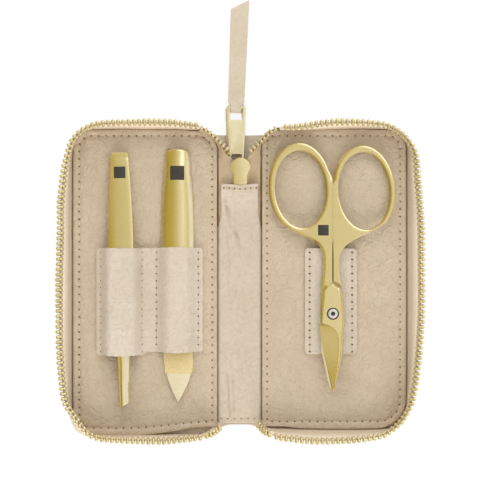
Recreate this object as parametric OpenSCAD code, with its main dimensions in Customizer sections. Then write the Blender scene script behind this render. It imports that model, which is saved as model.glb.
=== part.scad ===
// A zip-round leather manicure case, lying open and flat on its back.
// X runs across the open case, Y along the spine and Z up, away from the table.
// The origin is on the table under the middle of the spine. All sizes are in millimetres.

/* [Case] */
// Width of each cover, from its fold line to its outer edge
cover_w = 52.7; // [48:0.1:62]
// Height of the covers, along the spine
cover_h = 111; // [104:0.5:130]
// How far the right cover stops short at its lower edge
right_short = 2.4; // [0:0.1:4]
// Radius of the two outer corners of a cover
cover_r = 7; // [3:0.5:14]
// Distance between the two fold lines of the spine
spine_w = 15.8; // [14:0.2:22]
// How far the ends of the spine leather stop short of the covers
spine_short = 2.6; // [1:0.1:5]
// Width of leather that bends at each fold
fold_band = 3; // [2:0.1:4]
// Thickness of the outer leather and of the spine lining
leather_t = 1.2; // [0.8:0.05:1.6]
// Thickness of the stiffening board inside each cover
board_t = 1; // [0.6:0.05:1.6]
// Thickness of the padded lining panel
panel_t = 1.2; // [0.8:0.05:2]
// Radius of the outer corners of a lining panel
panel_r = 6; // [4:0.5:12]
// Radius of the left panel's inner top corner, cut away for the zip
left_cut_r = 7; // [3:0.5:12]
// Radius of the right panel's inner top corner
right_cut_r = 4; // [2:0.5:12]
// How far the board stays inside the edge of its panel
board_inset = 2.5; // [1:0.1:5]

/* [Walls] */
// Thickness of the leather wall that stands on each cover
wall_t = 1.2; // [0.9:0.05:1.6]
// How far the rim leans out past the cover at the free side
flare_side = 3; // [0.5:0.1:5]
// How far the rim leans out past the cover at the top and bottom
flare_end = 0.6; // [0:0.1:3]
// Extra outward bow at the middle of each straight stretch of the rim
rim_bow = 1.8; // [0:0.1:3]
// Radius of the rim's corners
rim_r = 14; // [9:0.5:20]
// Thickness of the zip tape
tape_t = 0.5; // [0.3:0.05:0.6]
// Width of tape that shows between the wall and the teeth
tape_show = 1.2; // [0.6:0.1:2]
// Depth of the slot in the wall that holds the tape
tape_slot = 2; // [1:0.1:3]

/* [Zip] */
// Distance from one tooth to the next along a row
tooth_pitch = 1.85; // [1.6:0.05:2.4]
// Length of a tooth along the row
tooth_len = 0.95; // [0.7:0.05:1.1]
// How far a tooth stands out from the tape
tooth_reach = 2.3; // [1.8:0.1:2.8]
// Thickness of a tooth across the tape
tooth_t = 1.5; // [1.1:0.05:1.6]
// Length of the slider
slider_l = 9.4; // [8:0.1:11]
// Width of the slider's broad end
slider_w = 7.2; // [6.4:0.1:8]
// Width of the slider's narrow end
slider_neck_w = 5; // [4.6:0.1:5.6]
// Thickness of each of the slider's two plates
slider_plate_t = 0.65; // [0.4:0.05:0.8]
// Tilt of the slider, broad end up
slider_tilt = 14; // [10:0.5:15]
// Distance from the covers' top edge down to the slider's narrow end
slider_drop = 20.3; // [18:0.1:24]
// Sideways place of the slider
slider_x = 0.3; // [-1:0.1:1]
// How far the slider can run along the straight end of the chain
slider_run = 2; // [0.5:0.1:3]

/* [Puller] */
// Length of the metal puller, from its hinge to its top bar
puller_l = 19.8; // [15:0.1:26]
// Width of the puller at the strap end
puller_w = 7; // [6:0.1:9]
// Width of the puller at the hinge end
puller_foot_w = 5.2; // [4.8:0.1:6]
// Thickness of the puller plate
puller_t = 1; // [0.9:0.05:1.2]
// Length of the window that the strap passes through
window_l = 5; // [4.6:0.1:7]
// Radius of the puller's two cross bars
bar_r = 0.42; // [0.3:0.01:0.48]
// Sideways place of the puller
puller_x = -1.1; // [-1.1:0.1:1]
// Slope of the puller down to the table
puller_slope = 1.65; // [1:0.05:2]
// Length of the leather strap beyond the puller's top bar
strap_l = 37.5; // [25:0.5:40]
// Width of the leather strap
strap_w = 6.3; // [5:0.1:7]
// Thickness of one layer of the strap
strap_t = 0.8; // [0.5:0.05:0.9]
// Sideways lean of the strap
strap_lean = 2.3; // [0:0.1:2.5]
// How much shorter one edge of the strap is cut
strap_bias = 2.8; // [0:0.1:5]

/* [Pocket and band] */
// Height of the pocket and of the band, along the spine
pocket_h = 38.4; // [30:0.2:46]
// Distance of the pocket's and band's middle below the middle of the case
pocket_drop = 7; // [2:0.2:12]
// Thickness of the pocket leather
pocket_t = 0.9; // [0.6:0.05:1.1]
// Width of the tweezers' loop between its stitch lines
tweezer_loop_w = 14.4; // [13.5:0.1:16]
// Rise of the tweezers' loop above the panel
tweezer_loop_rise = 4.9; // [4.8:0.1:6]
// Width of the file's loop between its stitch lines
file_loop_w = 14.8; // [14:0.1:16]
// Rise of the file's loop above the panel
file_loop_rise = 3.7; // [3.6:0.1:5]
// Width of leather outside the stitch lines
pocket_hem = 1.7; // [1:0.1:2.4]
// Width of the scissors' band between its stitch lines
band_w = 15.2; // [10:0.1:18]
// Rise of the scissors' band above the panel
band_rise = 0.2; // [0.1:0.05:0.5]

/* [Tweezers] */
// Length of the tweezers
tweezer_l = 92; // [80:0.5:94]
// Width of the tweezers at their broadest
tweezer_w = 9.1; // [7:0.1:9.4]
// Width of the tweezers at the tip
tweezer_tip_w = 3.6; // [2.5:0.1:4.5]
// Width of the tweezers at the joined end
tweezer_end_w = 6; // [4:0.1:7]
// Thickness of each arm
arm_t = 1; // [0.7:0.05:1.1]
// Gap between the tips
tip_gap = 2.7; // [2:0.1:2.9]
// Distance of the tweezers from the middle of the case
tweezer_x = 42.2; // [41:0.1:43]
// Turn of the tweezers in their pocket
tweezer_turn = 1; // [0:0.1:1.2]

/* [File] */
// Length of the file's handle
handle_l = 70; // [60:0.5:74]
// Width of the handle at its broadest
handle_w = 11.6; // [9:0.1:11.8]
// Rise of the handle's rounded back
handle_rise = 3; // [2.4:0.1:3.1]
// Thickness of the handle's sheet steel
handle_t = 0.7; // [0.4:0.05:0.8]
// Length of blade that shows past the handle
blade_show = 21.5; // [19.5:0.5:23]
// Width of the blade
blade_w = 10.4; // [8:0.1:10.6]
// Thickness of the blade
blade_t = 1; // [0.7:0.05:1.1]
// Length of the bare pointed tip
point_l = 11; // [8:0.2:14]
// Thickness of the grit on each face of the blade
grit_t = 0.12; // [0.08:0.01:0.15]
// Distance of the file from the middle of the case
file_x = 22.3; // [21:0.1:23]

/* [Scissors] */
// Distance of the scissors' pivot from the middle of the spine
pivot_x = 33.3; // [32:0.1:35]
// Distance of the pivot below the middle of the case
pivot_drop = 11.2; // [9:0.1:13]
// Length from the pivot to the blade tip
blade_l = 28.4; // [22:0.2:32]
// Half width of the finger openings
ring_a = 9.2; // [7.5:0.1:9.4]
// Half length of the finger openings
ring_b = 13.8; // [11:0.1:15]
// Width of the metal at the ends of the finger openings
ring_rim = 2.5; // [1.8:0.1:2.6]
// Width of the metal beside the finger openings
ring_side = 1.9; // [1.5:0.1:2.3]
// Thickness of each blade
scissor_t = 1.2; // [0.9:0.05:1.4]
// Thickness of the shanks and rings
shank_t = 2.2; // [1.8:0.05:2.3]
// Radius of the pivot screw's shank
screw_r = 1.25; // [1:0.05:1.4]
// Radius of the pivot screw's head
screw_head_r = 2.15; // [1.8:0.05:2.4]
// Size across the flats of the screw's hexagon socket
socket_w = 1.5; // [1:0.1:1.8]

/* [Badges] */
// Side of the blank badge on the tweezers
tweezer_badge = 3.9; // [2:0.1:5]
// Side of the blank badge on the file
file_badge_w = 4.9; // [2:0.1:5.5]
// Side of the blank badge on the scissors
scissor_badge_w = 3.8; // [2:0.1:4.2]

/* [Hidden] */
$fn = 64;

leather_colour = "#dcc7ae";
suede_colour = "#cdb496";
card_colour = "#a8967c";
tape_colour = "#d8c6a6";
gold_colour = "#d3bf78";
steel_colour = "#b9b9c0";
dark_colour = "#3a3633";

// running clearances between pieces that move, and between pieces that only lie together
fit_gap = 0.05;
lay_gap = 0.2;
part_gap = 0.3;
sewn_gap = 0.12;

slider_y = cover_h / 2 - slider_drop;

// the fold lines lie on top of the spine lining
fold_u = spine_w / 2;
fold_z = 2 * leather_t;
fold_gap = 0.2;
cover_u = fold_u + cover_w;
panel_z = leather_t + board_t;
panel_top = panel_z + panel_t;
panel_u0 = fold_u + fold_gap;
panel_u1 = cover_u - wall_t - lay_gap;
panel_v1 = cover_h / 2 - wall_t - lay_gap;

// the two rims meet halfway when both covers are folded up
rim_z = fold_z + fold_u - fit_gap;
rim_cu = cover_u - wall_t / 2 + flare_side - rim_r;
rim_cv = cover_h / 2 - wall_t / 2 + flare_end - rim_r;
base_cu = cover_u - cover_r;
base_r = cover_r - wall_t / 2;
rim_start_u = fold_u + 6.5;
rim_end_u = fold_u + 0.8;

function unit(a) = a / norm(a);
function mix(a, b, t) = a + (b - a) * t;
function smooth(t) = let (c = min(max(t, 0), 1)) c * c * (3 - 2 * c);
function running_length(pts, i = 0, sum = 0) =
    i >= len(pts) ? [] :
    let (s = i == 0 ? 0 : sum + norm(pts[i] - pts[i - 1]))
    concat([s], running_length(pts, i + 1, s));

// A closed solid through a list of rings with equally many points
module loft(rings) {
    n = len(rings);
    m = len(rings[0]);
    points = [for (r = rings) each r];
    first_cap = [for (j = [m - 1:-1:0]) j];
    last_cap = [for (j = [0:m - 1]) (n - 1) * m + j];
    sides = [for (i = [0:n - 2], j = [0:m - 1], half = [0, 1])
        let (a = i * m + j, b = i * m + (j + 1) % m)
        half == 0 ? [a, b, b + m] : [a, b + m, a + m]];
    polyhedron(points, concat(sides, [first_cap, last_cap]), convexity = 10);
}

// Mirrors a right-hand piece to the left
module left() {
    mirror([1, 0, 0]) children();
}

// ---------- covers ----------

// A plate with its two outer corners rounded, from v0 up to v1
module cover_shape(u0, u1, v0, v1, r) {
    translate([u0, v0]) square([u1 - r - u0, v1 - v0]);
    translate([u1 - r - 1, v0 + r]) square([r + 1, v1 - v0 - 2 * r]);
    for (v = [v0 + r, v1 - r]) {
        translate([u1 - r, v]) circle(r);
    }
}

// The lower edge of a cover that stops short by the given length
function cover_low(short) = short - cover_h / 2;

// The upper corner beside the spine is cut off, to follow the teeth down to the slider
module cover_leather(short) {
    u0 = fold_u + fold_band / 2;
    color(leather_colour) linear_extrude(leather_t) difference() {
        cover_shape(u0, cover_u, cover_low(short), cover_h / 2, cover_r);
        polygon([[u0 - 1, spine_v - 0.2], [rim_start_u, cover_h / 2], [rim_start_u, cover_h], [u0 - 1, cover_h]]);
    }
}

module board_plan(short) {
    cover_shape(panel_u0 + board_inset, panel_u1 - board_inset,
        cover_low(short) + wall_t + lay_gap + board_inset, panel_v1 - board_inset, panel_r / 2);
}

module cover_board(short) {
    color(card_colour) translate([0, 0, leather_t]) linear_extrude(board_t) board_plan(short);
}

// The board's thickness is closed around its edge by the turned-in lining
module lining_panel(cut_r, short) {
    color(suede_colour) translate([0, 0, leather_t]) difference() {
        linear_extrude(board_t + panel_t) difference() {
            cover_shape(panel_u0, panel_u1, cover_low(short) + wall_t + lay_gap, panel_v1, panel_r);
            translate([panel_u0, panel_v1]) difference() {
                translate([-1, -cut_r]) square([cut_r + 1, cut_r + 1]);
                translate([cut_r, -cut_r]) circle(cut_r);
            }
        }
        translate([0, 0, -1]) linear_extrude(board_t + 1) board_plan(short);
    }
}

// ---------- spine ----------

spine_v = cover_h / 2 - spine_short;

module spine_leather() {
    color(leather_colour) translate([fold_band / 2 - fold_u, -spine_v, 0])
        cube([spine_w - fold_band, 2 * spine_v, leather_t]);
}

module fold_leather() {
    color(leather_colour) translate([fold_u - fold_band / 2, -spine_v, 0])
        cube([fold_band, 2 * spine_v, leather_t]);
}

lining_foot_v = -spine_v + 1.2;
lining_head_v = slider_y - 0.4;
lining_ramp = 11;
lining_neck = 4;
lining_half_w = fold_u - 0.2;
lining_head_half_w = fold_u - 1.3;
// the leather is pared thin at its head
lining_head_t = 0.7;

// the slider stands just high enough for the puller's bridge to clear the outer leather
channel_h = tooth_t + 2 * fit_gap;
slider_h = channel_h + 2 * slider_plate_t;
bridge_y0 = slider_l * 0.64;
bridge_y1 = slider_l * 0.96;
bridge_w = 0.8;
bridge_leg = 0.55;
bridge_gap = puller_t + 0.24;
bridge_bar = 0.4;
bridge_depth = slider_h / 2 + bridge_gap + bridge_bar;
chain_tail_l = 2.9;
chain_slope = tan(slider_tilt);
chain_z = leather_t + fit_gap + max(
    bridge_depth * cos(slider_tilt) - bridge_y0 * sin(slider_tilt),
    slider_h / 2 * cos(slider_tilt),
    tooth_t / 2 * cos(slider_tilt) + chain_tail_l * sin(slider_tilt));
function chain_height(v) = chain_z + (v - slider_y) * chain_slope;
lining_lift = chain_height(lining_head_v) + tooth_t / 2 + sewn_gap - leather_t;
function lining_rise(v) = lining_lift * smooth((v - lining_head_v + lining_ramp) / lining_ramp);

// The lining narrows, then rises at its head to cover the sewn-in end of the zip
module spine_lining() {
    neck_v = lining_head_v - lining_ramp - lining_neck;
    rows = concat([lining_foot_v], [for (i = [0:15]) mix(neck_v, lining_head_v, i / 15)]);
    color(leather_colour) loft([for (v = rows)
        let (w = mix(lining_half_w, lining_head_half_w, smooth((v - neck_v) / (lining_neck + 1))),
             z = leather_t + lining_rise(v),
             t = mix(leather_t, lining_head_t, smooth((v - lining_head_v + lining_ramp) / lining_ramp)))
        [[-w, v, z], [w, v, z], [w, v, z + t], [-w, v, z + t]]]);
}

// ---------- walls and rims ----------

// Number of steps along a straight stretch, a corner and the free side
straight_steps = 8;
corner_steps = 10;
side_steps = 14;

function ease(t) = 0.5 + 0.5 * cos(180 * min(max(t, -1), 1));

// Points of an open outline that runs out along the top, down the free side and back along the bottom.
// Its corner centres are at cu and at v_high and v_low.
function outline(cu, v_high, v_low, r, bow, u_start, u_end) =
    let (top_mid = (u_start + cu) / 2, top_half = (cu - u_start) / 2,
         low_mid = (u_end + cu) / 2, low_half = (cu - u_end) / 2,
         side_mid = (v_high + v_low) / 2, side_half = (v_high - v_low) / 2)
    concat(
        [for (i = [0:straight_steps]) let (u = mix(u_start, cu, i / straight_steps))
            [u, v_high + r + bow * ease((u - top_mid) / top_half)]],
        [for (i = [1:corner_steps]) let (a = 90 - 90 * i / corner_steps)
            [cu + r * cos(a), v_high + r * sin(a)]],
        [for (i = [1:side_steps]) let (v = mix(v_high, v_low, i / side_steps))
            [cu + r + bow * ease((v - side_mid) / side_half), v]],
        [for (i = [1:corner_steps]) let (a = -90 * i / corner_steps)
            [cu + r * cos(a), v_low + r * sin(a)]],
        [for (i = [1:straight_steps]) let (u = mix(cu, u_end, i / straight_steps))
            [u, v_low - r - bow * ease((u - low_mid) / low_half)]]);

// Middle of the wall's foot, on the cover's leather
function base_line(short) = [for (p = outline(base_cu, cover_h / 2 - cover_r, cover_low(short) + cover_r,
    base_r, 0, rim_start_u, rim_end_u)) [p[0], p[1], leather_t]];
rim_line = [for (p = outline(rim_cu, rim_cv, -rim_cv, rim_r, rim_bow, rim_start_u, rim_end_u))
    [p[0], p[1], rim_z]];
rim_last = len(rim_line) - 1;
rim_run = running_length(rim_line);
rim_total = rim_run[rim_last];

full_base = base_line(0);
function rim_tangent(i) = unit(rim_line[min(i + 1, rim_last)] - rim_line[max(i - 1, 0)]);
// Up the wall, square to the rim
function wall_up(i) =
    let (t = rim_tangent(i), raw = rim_line[i] - full_base[i])
    unit(raw - t * (raw * t));
function wall_out(i) = cross(wall_up(i), rim_tangent(i));

// A point at a distance below the rim and a distance outward from the wall's middle
function wall_point(i, below, out) = rim_line[i] - wall_up(i) * below + wall_out(i) * out;
// A point on the foot, a distance outward from its middle
function foot_point(i, foot, out) = foot[i] - unit([rim_tangent(i)[1], -rim_tangent(i)[0], 0]) * out;

wall_top = tooth_reach + tape_show;

module wall(short) {
    foot = base_line(short);
    a = wall_t / 2;
    b = tape_t / 2 + sewn_gap;
    color(leather_colour) loft([for (i = [0:rim_last]) [
        foot_point(i, foot, -a), wall_point(i, wall_top, -a),
        wall_point(i, wall_top, -b), wall_point(i, wall_top + tape_slot, -b),
        wall_point(i, wall_top + tape_slot, b), wall_point(i, wall_top, b),
        wall_point(i, wall_top, a), foot_point(i, foot, a)]]);
}

module rim_tape() {
    b = tape_t / 2;
    color(tape_colour) loft([for (i = [0:rim_last]) [
        wall_point(i, wall_top + tape_slot - sewn_gap, -b), wall_point(i, tooth_reach, -b),
        wall_point(i, tooth_reach, b), wall_point(i, wall_top + tape_slot - sewn_gap, b)]]);
}

// ---------- teeth ----------

// Clearance of a tooth over the edge of the tape
tooth_seat = 0.03;

module tooth() {
    w = tooth_len / 2;
    r = tooth_reach;
    translate([0, 0, -tooth_t / 2]) linear_extrude(tooth_t)
        polygon([[-w, tooth_seat], [w, tooth_seat], [w, r * 0.5], [w * 0.75, r * 0.68], [w * 0.75, r * 0.88],
            [w * 0.4, r], [-w * 0.4, r], [-w * 0.75, r * 0.88], [-w * 0.75, r * 0.68], [-w, r * 0.5]]);
}

// Puts a piece drawn along +Y at p, with +Y turned to up and +X along the row
module on_row(p, along, up) {
    x = unit(along - up * (along * up));
    z = cross(x, up);
    multmatrix([[x[0], up[0], z[0], p[0]], [x[1], up[1], z[1], p[1]], [x[2], up[2], z[2], p[2]]]) children();
}

function rim_at(s, list) = [for (axis = [0:2]) lookup(s, [for (i = [0:rim_last]) [rim_run[i], list[i][axis]]])];
rim_ups = [for (i = [0:rim_last]) wall_up(i)];
rim_alongs = [for (i = [0:rim_last]) rim_tangent(i)];

module on_rim(s) {
    up = unit(rim_at(s, rim_ups));
    on_row(rim_at(s, rim_line) - up * tooth_reach, rim_at(s, rim_alongs), up) children();
}

rim_tooth_count = floor((rim_total - 2 * tooth_pitch) / tooth_pitch);

// The two rows are half a pitch apart, so that they mesh
module rim_teeth(shift) {
    color(gold_colour) for (k = [0:rim_tooth_count - 1]) {
        on_rim((k + 0.6 + shift) * tooth_pitch) tooth();
    }
}

module row_stop(shift) {
    color(gold_colour) on_rim((rim_tooth_count + 0.75 + shift) * tooth_pitch)
        translate([-tooth_len * 0.7, 0, -tooth_t / 2]) cube([tooth_len * 1.4, tooth_reach * 0.6, tooth_t]);
}

// ---------- throat, where each row runs from the rim down into the slider ----------

mouth_v = slider_y + (slider_l + 0.35) * cos(slider_tilt);
mouth_u = tooth_reach + 0.55;
mouth_z = chain_height(mouth_v);
throat_from = rim_line[0] - rim_ups[0] * tooth_reach - rim_alongs[0] * part_gap;
throat_to = [mouth_u, mouth_v, mouth_z];
throat_bend_a = throat_from - rim_alongs[0] * 3.5;
throat_bend_b = throat_to + [2.5, 3, 1.4];
throat_steps = 16;
function bezier(a, b, c, d, t) =
    a * pow(1 - t, 3) + b * 3 * t * pow(1 - t, 2) + c * 3 * t * t * (1 - t) + d * pow(t, 3);
throat_line = [for (i = [0:throat_steps])
    bezier(throat_from, throat_bend_a, throat_bend_b, throat_to, i / throat_steps)];
throat_run = running_length(throat_line);
function throat_along(i) = unit(throat_line[min(i + 1, throat_steps)] - throat_line[max(i - 1, 0)]);
// The teeth turn from standing on the wall to lying flat and pointing to the middle
function throat_up(i) =
    let (raw = mix(rim_ups[0], [-1, 0, 0], smooth(i / throat_steps)), t = throat_along(i))
    unit(raw - t * (raw * t));
throat_ups = [for (i = [0:throat_steps]) throat_up(i)];
throat_alongs = [for (i = [0:throat_steps]) throat_along(i)];
function throat_at(s, list) = [for (axis = [0:2]) lookup(s, [for (i = [0:throat_steps]) [throat_run[i], list[i][axis]]])];
throat_tooth_count = floor(throat_run[throat_steps] / tooth_pitch);
tail_v = lining_head_v - chain_tail_l + 0.8;
throat_tape_w = 3.2;

module throat_tape() {
    b = tape_t / 2;
    flat_w = fold_u - 1.2 - mouth_u;
    curved = [for (i = [0:throat_steps])
        let (up = throat_ups[i], n = cross(up, throat_alongs[i]), p = throat_line[i],
             w = mix(throat_tape_w, flat_w, smooth(i / throat_steps)))
        [p - up * w - n * b, p - n * b, p + n * b, p - up * w + n * b]];
    straight = [for (v = [mouth_v - 1, slider_y, tail_v])
        let (z = chain_height(v), u = mouth_u - 0.5)
        [[mouth_u + flat_w, v, z - b], [u, v, z - b], [u, v, z + b], [mouth_u + flat_w, v, z + b]]];
    color(tape_colour) loft(concat(curved, straight));
}

module throat_teeth(shift) {
    color(gold_colour) for (k = [0:throat_tooth_count - 1]) {
        s = (k + 0.35 + shift) * tooth_pitch;
        up = unit(throat_at(s, throat_ups));
        on_row(throat_at(s, throat_line), throat_at(s, throat_alongs), up) tooth();
    }
}

// ---------- meshed end of the chain, stop and slider ----------

// Draws in the slider's own frame: +Y along the chain, z = 0 in the middle of the tape
module in_slider() {
    translate([slider_x, slider_y, chain_z]) rotate([slider_tilt, 0, 0]) children();
}

chain_half_w = slider_neck_w / 2 - 0.55;
chain_bars = 9;

// Short meshed teeth, drawn as alternate bars that fit the slider's channel
module chain_teeth() {
    color(gold_colour) in_slider() for (k = [0:chain_bars - 1]) {
        side = k % 2 == 0 ? 1 : -1;
        translate([side > 0 ? -chain_half_w / 2 : -chain_half_w, k * tooth_pitch / 2 - chain_tail_l + 1, -tooth_t / 2])
            cube([chain_half_w * 1.5, tooth_pitch / 2 - 0.12, tooth_t]);
    }
}

module chain_stop() {
    color(gold_colour) in_slider()
        translate([-chain_half_w, -chain_tail_l, -tooth_t / 2])
            cube([2 * chain_half_w, 0.85, tooth_t]);
}

neck_l = slider_l * 0.36;
tape_gap = tape_t + 0.3;

// Plan of the slider: a straight neck, a shoulder and a round broad end
module slider_plan(inset = 0) {
    n = slider_neck_w / 2 - inset;
    w = slider_w / 2 - inset;
    r = slider_w * 0.52;
    polygon(concat(
        [[n, 0], [n, neck_l]],
        [for (a = [-10:10:60]) [min(w, r * cos(a)), slider_l - r + r * sin(a)]],
        [[0, slider_l]],
        [for (a = [60:-10:-10]) [-min(w, r * cos(a)), slider_l - r + r * sin(a)]],
        [[-n, neck_l], [-n, 0]]));
}

module zip_slider() {
    color(gold_colour) in_slider() {
        difference() {
            translate([0, 0, -slider_h / 2]) linear_extrude(slider_h) slider_plan();
            // straight channel for the meshed chain, flared at the broad end
            translate([0, 0, -channel_h / 2]) linear_extrude(channel_h) difference() {
                polygon([[-chain_half_w - fit_gap, -1], [chain_half_w + fit_gap, -1],
                    [chain_half_w + fit_gap, neck_l], [slider_w / 2 - 0.5, slider_l * 0.7],
                    [slider_w / 2 - 0.5, slider_l + 1], [-slider_w / 2 + 0.5, slider_l + 1],
                    [-slider_w / 2 + 0.5, slider_l * 0.7], [-chain_half_w - fit_gap, neck_l]]);
                polygon([[0, slider_l * 0.68], [0.9, slider_l + 2], [-0.9, slider_l + 2]]);
            }
            // side slots for the tape
            for (s = [-1, 1]) {
                translate([s > 0 ? 1.1 : -slider_w, -1, -tape_gap / 2]) cube([slider_w - 1.1, slider_l + 2, tape_gap]);
            }
        }
        // bridge for the puller, under the outer plate
        translate([-bridge_w / 2, bridge_y0, -slider_h / 2 - bridge_gap - bridge_bar]) difference() {
            cube([bridge_w, bridge_y1 - bridge_y0, bridge_gap + bridge_bar + 0.2]);
            translate([-1, bridge_leg, bridge_bar])
                cube([bridge_w + 2, bridge_y1 - bridge_y0 - 2 * bridge_leg, bridge_gap]);
        }
    }
}

// ---------- puller and strap ----------

hinge_y_local = bridge_y1 - bridge_leg - bar_r - 0.08;
hinge_z_local = -slider_h / 2 - bridge_gap / 2;
hinge_v = slider_y + hinge_y_local * cos(slider_tilt) - hinge_z_local * sin(slider_tilt);
hinge_z = chain_z + hinge_y_local * sin(slider_tilt) + hinge_z_local * cos(slider_tilt);

// Draws in the puller's own frame: the hinge at the origin and +Y along the puller
module in_puller() {
    translate([puller_x, hinge_v, hinge_z]) rotate([-puller_slope, 0, 0]) children();
}

loop_hole_l = 2.4;
puller_leg = 0.7;
window_w = puller_w - 2.6;
top_bar_r = 0.65;
loop_r = top_bar_r + 0.12;
loop_slack = 0.6;

module zip_puller() {
    foot = puller_foot_w / 2;
    head = puller_w / 2;
    color(gold_colour) in_puller() {
        difference() {
            translate([0, 0, -puller_t / 2]) linear_extrude(puller_t)
                polygon([[-foot, 0], [foot, 0], [head, puller_l - 1], [head - 1, puller_l + 0.5],
                    [1 - head, puller_l + 0.5], [-head, puller_l - 1]]);
            translate([puller_leg - foot, -1, -puller_t])
                cube([puller_foot_w - 2 * puller_leg, bar_r + loop_hole_l + 1, 2 * puller_t]);
            translate([-window_w / 2, puller_l - window_l, -puller_t])
                cube([window_w, window_l + 1, 2 * puller_t]);
        }
        rotate([0, 90, 0]) translate([0, 0, -foot]) cylinder(h = puller_foot_w, r = bar_r);
        translate([-window_w / 2 - 0.2, puller_l - bar_r, 0]) rotate([0, 90, 0])
            cylinder(h = window_w + 0.4, r = top_bar_r);
    }
}

// One band of leather folded round the puller's top bar, with its two ends lying together
module pull_strap() {
    loop_w = window_w - 0.5;
    bar_y = puller_l - bar_r;
    outer = loop_r + strap_t;
    join_y = bar_y + 3.2;
    color(leather_colour) in_puller()
        translate([0, bar_y, 0]) rotate([0, 0, -strap_lean]) translate([0, -bar_y, 0]) difference() {
            union() {
                translate([-loop_w / 2, 0, 0]) rotate([90, 0, 90]) linear_extrude(loop_w)
                    polygon(concat(
                        [for (a = [90:15:270]) [bar_y - loop_slack + outer * cos(a), outer * sin(a)]],
                        [[join_y, -outer], [join_y, outer]]));
                translate([-strap_w / 2, 0, 0]) rotate([90, 0, 90]) linear_extrude(strap_w)
                    polygon([[bar_y + top_bar_r + 0.9, outer], [join_y, outer], [join_y + 4, strap_t],
                        [puller_l + strap_l, strap_t], [puller_l + strap_l, -strap_t], [join_y + 4, -strap_t],
                        [join_y, -outer], [bar_y + top_bar_r + 0.9, -outer]]);
            }
            translate([-strap_w, 0, 0]) rotate([90, 0, 90]) linear_extrude(2 * strap_w)
                polygon(concat(
                    [for (a = [90:15:270]) [bar_y - loop_slack + loop_r * cos(a), loop_r * sin(a)]],
                    [[bar_y + 1.2, -loop_r], [bar_y + 3.4, 0], [bar_y + 1.2, loop_r]]));
            // slanting end
            translate([0, 0, -outer - 1]) linear_extrude(2 * outer + 2)
                polygon([[-strap_w, puller_l + strap_l - 1.5 * strap_bias],
                    [strap_w, puller_l + strap_l + 0.5 * strap_bias],
                    [strap_w, puller_l + strap_l + 9], [-strap_w, puller_l + strap_l + 9]]);
        }
}

// ---------- tool pocket and scissors' band ----------

// Height of a loop, flat on top and steep at both sides, at a share of its width
loop_shoulder = 0.25;
function loop_rise(t) = t <= 0 || t >= 1 ? 0 : smooth(t / loop_shoulder) * smooth((1 - t) / loop_shoulder);
loop_steps = 28;
pocket_v0 = -pocket_drop - pocket_h / 2;

tweezer_loop_x = -tweezer_x - 0.15 - tweezer_loop_w / 2;
file_loop_x = -file_x - file_loop_w / 2;

// Underside of the pocket leather as [x, rise] pairs, from left to right
function loop_line(x0, w, rise) = [for (i = [0:loop_steps]) let (t = i / loop_steps) [x0 + w * t, rise * loop_rise(t)]];

module leather_strip(line, t, z, v0, h) {
    n = len(line);
    // the outer face keeps the leather's thickness square to its slope
    function slope(i) = unit(line[min(i + 1, n - 1)] - line[max(i - 1, 0)]);
    upper = [for (i = [n - 1:-1:0]) line[i] + [-slope(i)[1], slope(i)[0]] * t];
    translate([0, v0 + h, z]) rotate([90, 0, 0]) linear_extrude(h) polygon(concat(line, upper));
}

module tool_pocket() {
    line = concat(
        [[tweezer_loop_x - pocket_hem, 0]],
        loop_line(tweezer_loop_x, tweezer_loop_w, tweezer_loop_rise),
        loop_line(file_loop_x, file_loop_w, file_loop_rise),
        [[file_loop_x + file_loop_w + pocket_hem, 0]]);
    color(leather_colour) leather_strip(line, pocket_t, panel_top, pocket_v0, pocket_h);
}

module scissors_band() {
    x0 = pivot_x - 0.6 - band_w / 2;
    line = concat([[x0 - pocket_hem, 0]], loop_line(x0, band_w, band_rise), [[x0 + band_w + pocket_hem, 0]]);
    color(leather_colour) leather_strip(line, pocket_t, panel_top, pocket_v0, pocket_h);
}

// ---------- tweezers ----------

tool_z = panel_top + lay_gap;
tweezer_top_v = 46.5;
arm_steps = 24;

// Half width of an arm at a distance from its joined end
function arm_half_w(d) =
    let (t = d / tweezer_l)
    t < 0.4 ? mix(tweezer_end_w, tweezer_w, pow(sin(90 * min(t / 0.4, 1)), 0.8)) / 2 :
    mix(tweezer_w, tweezer_tip_w, smooth((t - 0.4) / 0.48)) / 2;
function arm_gap(d) = tip_gap * min(1, max(0, d - 3) / (tweezer_l * 0.8));

module in_tweezers() {
    translate([-tweezer_x, tweezer_top_v - tweezer_l / 2, tool_z]) rotate([0, 0, tweezer_turn])
        translate([0, tweezer_l / 2, 0]) children();
}

// An arm whose under face follows z0(d), with its tip cut on the slant
module arm(lower) {
    slant = tweezer_tip_w * 0.45;
    loft([for (i = [0:arm_steps])
        let (d = tweezer_l * i / arm_steps, w = arm_half_w(d), edge = min(0.3, w / 4),
             cut = i == arm_steps ? slant : 0,
             z0 = lower ? 0 : arm_t + arm_gap(d), z1 = z0 + arm_t)
        [[-w, -d, z0], [-w, -d, z1 - edge], [edge - w, -d, z1], [w - edge, -d + cut, z1],
            [w, -d + cut, z1 - edge], [w, -d + cut, z0]]]);
}

module tweezers_lower_arm() {
    color(gold_colour) in_tweezers() arm(true);
}

weld_l = 3;
badge_t = 0.2;
badge_at = 7.2;

module tweezers_upper_arm() {
    color(gold_colour) in_tweezers() difference() {
        translate([0, 0, part_gap / 6]) arm(false);
        translate([-tweezer_badge / 2, -badge_at - tweezer_badge / 2, 2 * arm_t + arm_gap(badge_at) - badge_t])
            cube([tweezer_badge, tweezer_badge, 2]);
    }
}

module tweezers_badge() {
    g = fit_gap / 2;
    color(dark_colour) in_tweezers()
        translate([g - tweezer_badge / 2, g - badge_at - tweezer_badge / 2, 2 * arm_t + arm_gap(badge_at) - badge_t])
            cube([tweezer_badge - 2 * g, tweezer_badge - 2 * g, badge_t + 0.1]);
}

// ---------- file ----------

file_top_v = 47.9;
handle_steps = 22;

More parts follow.
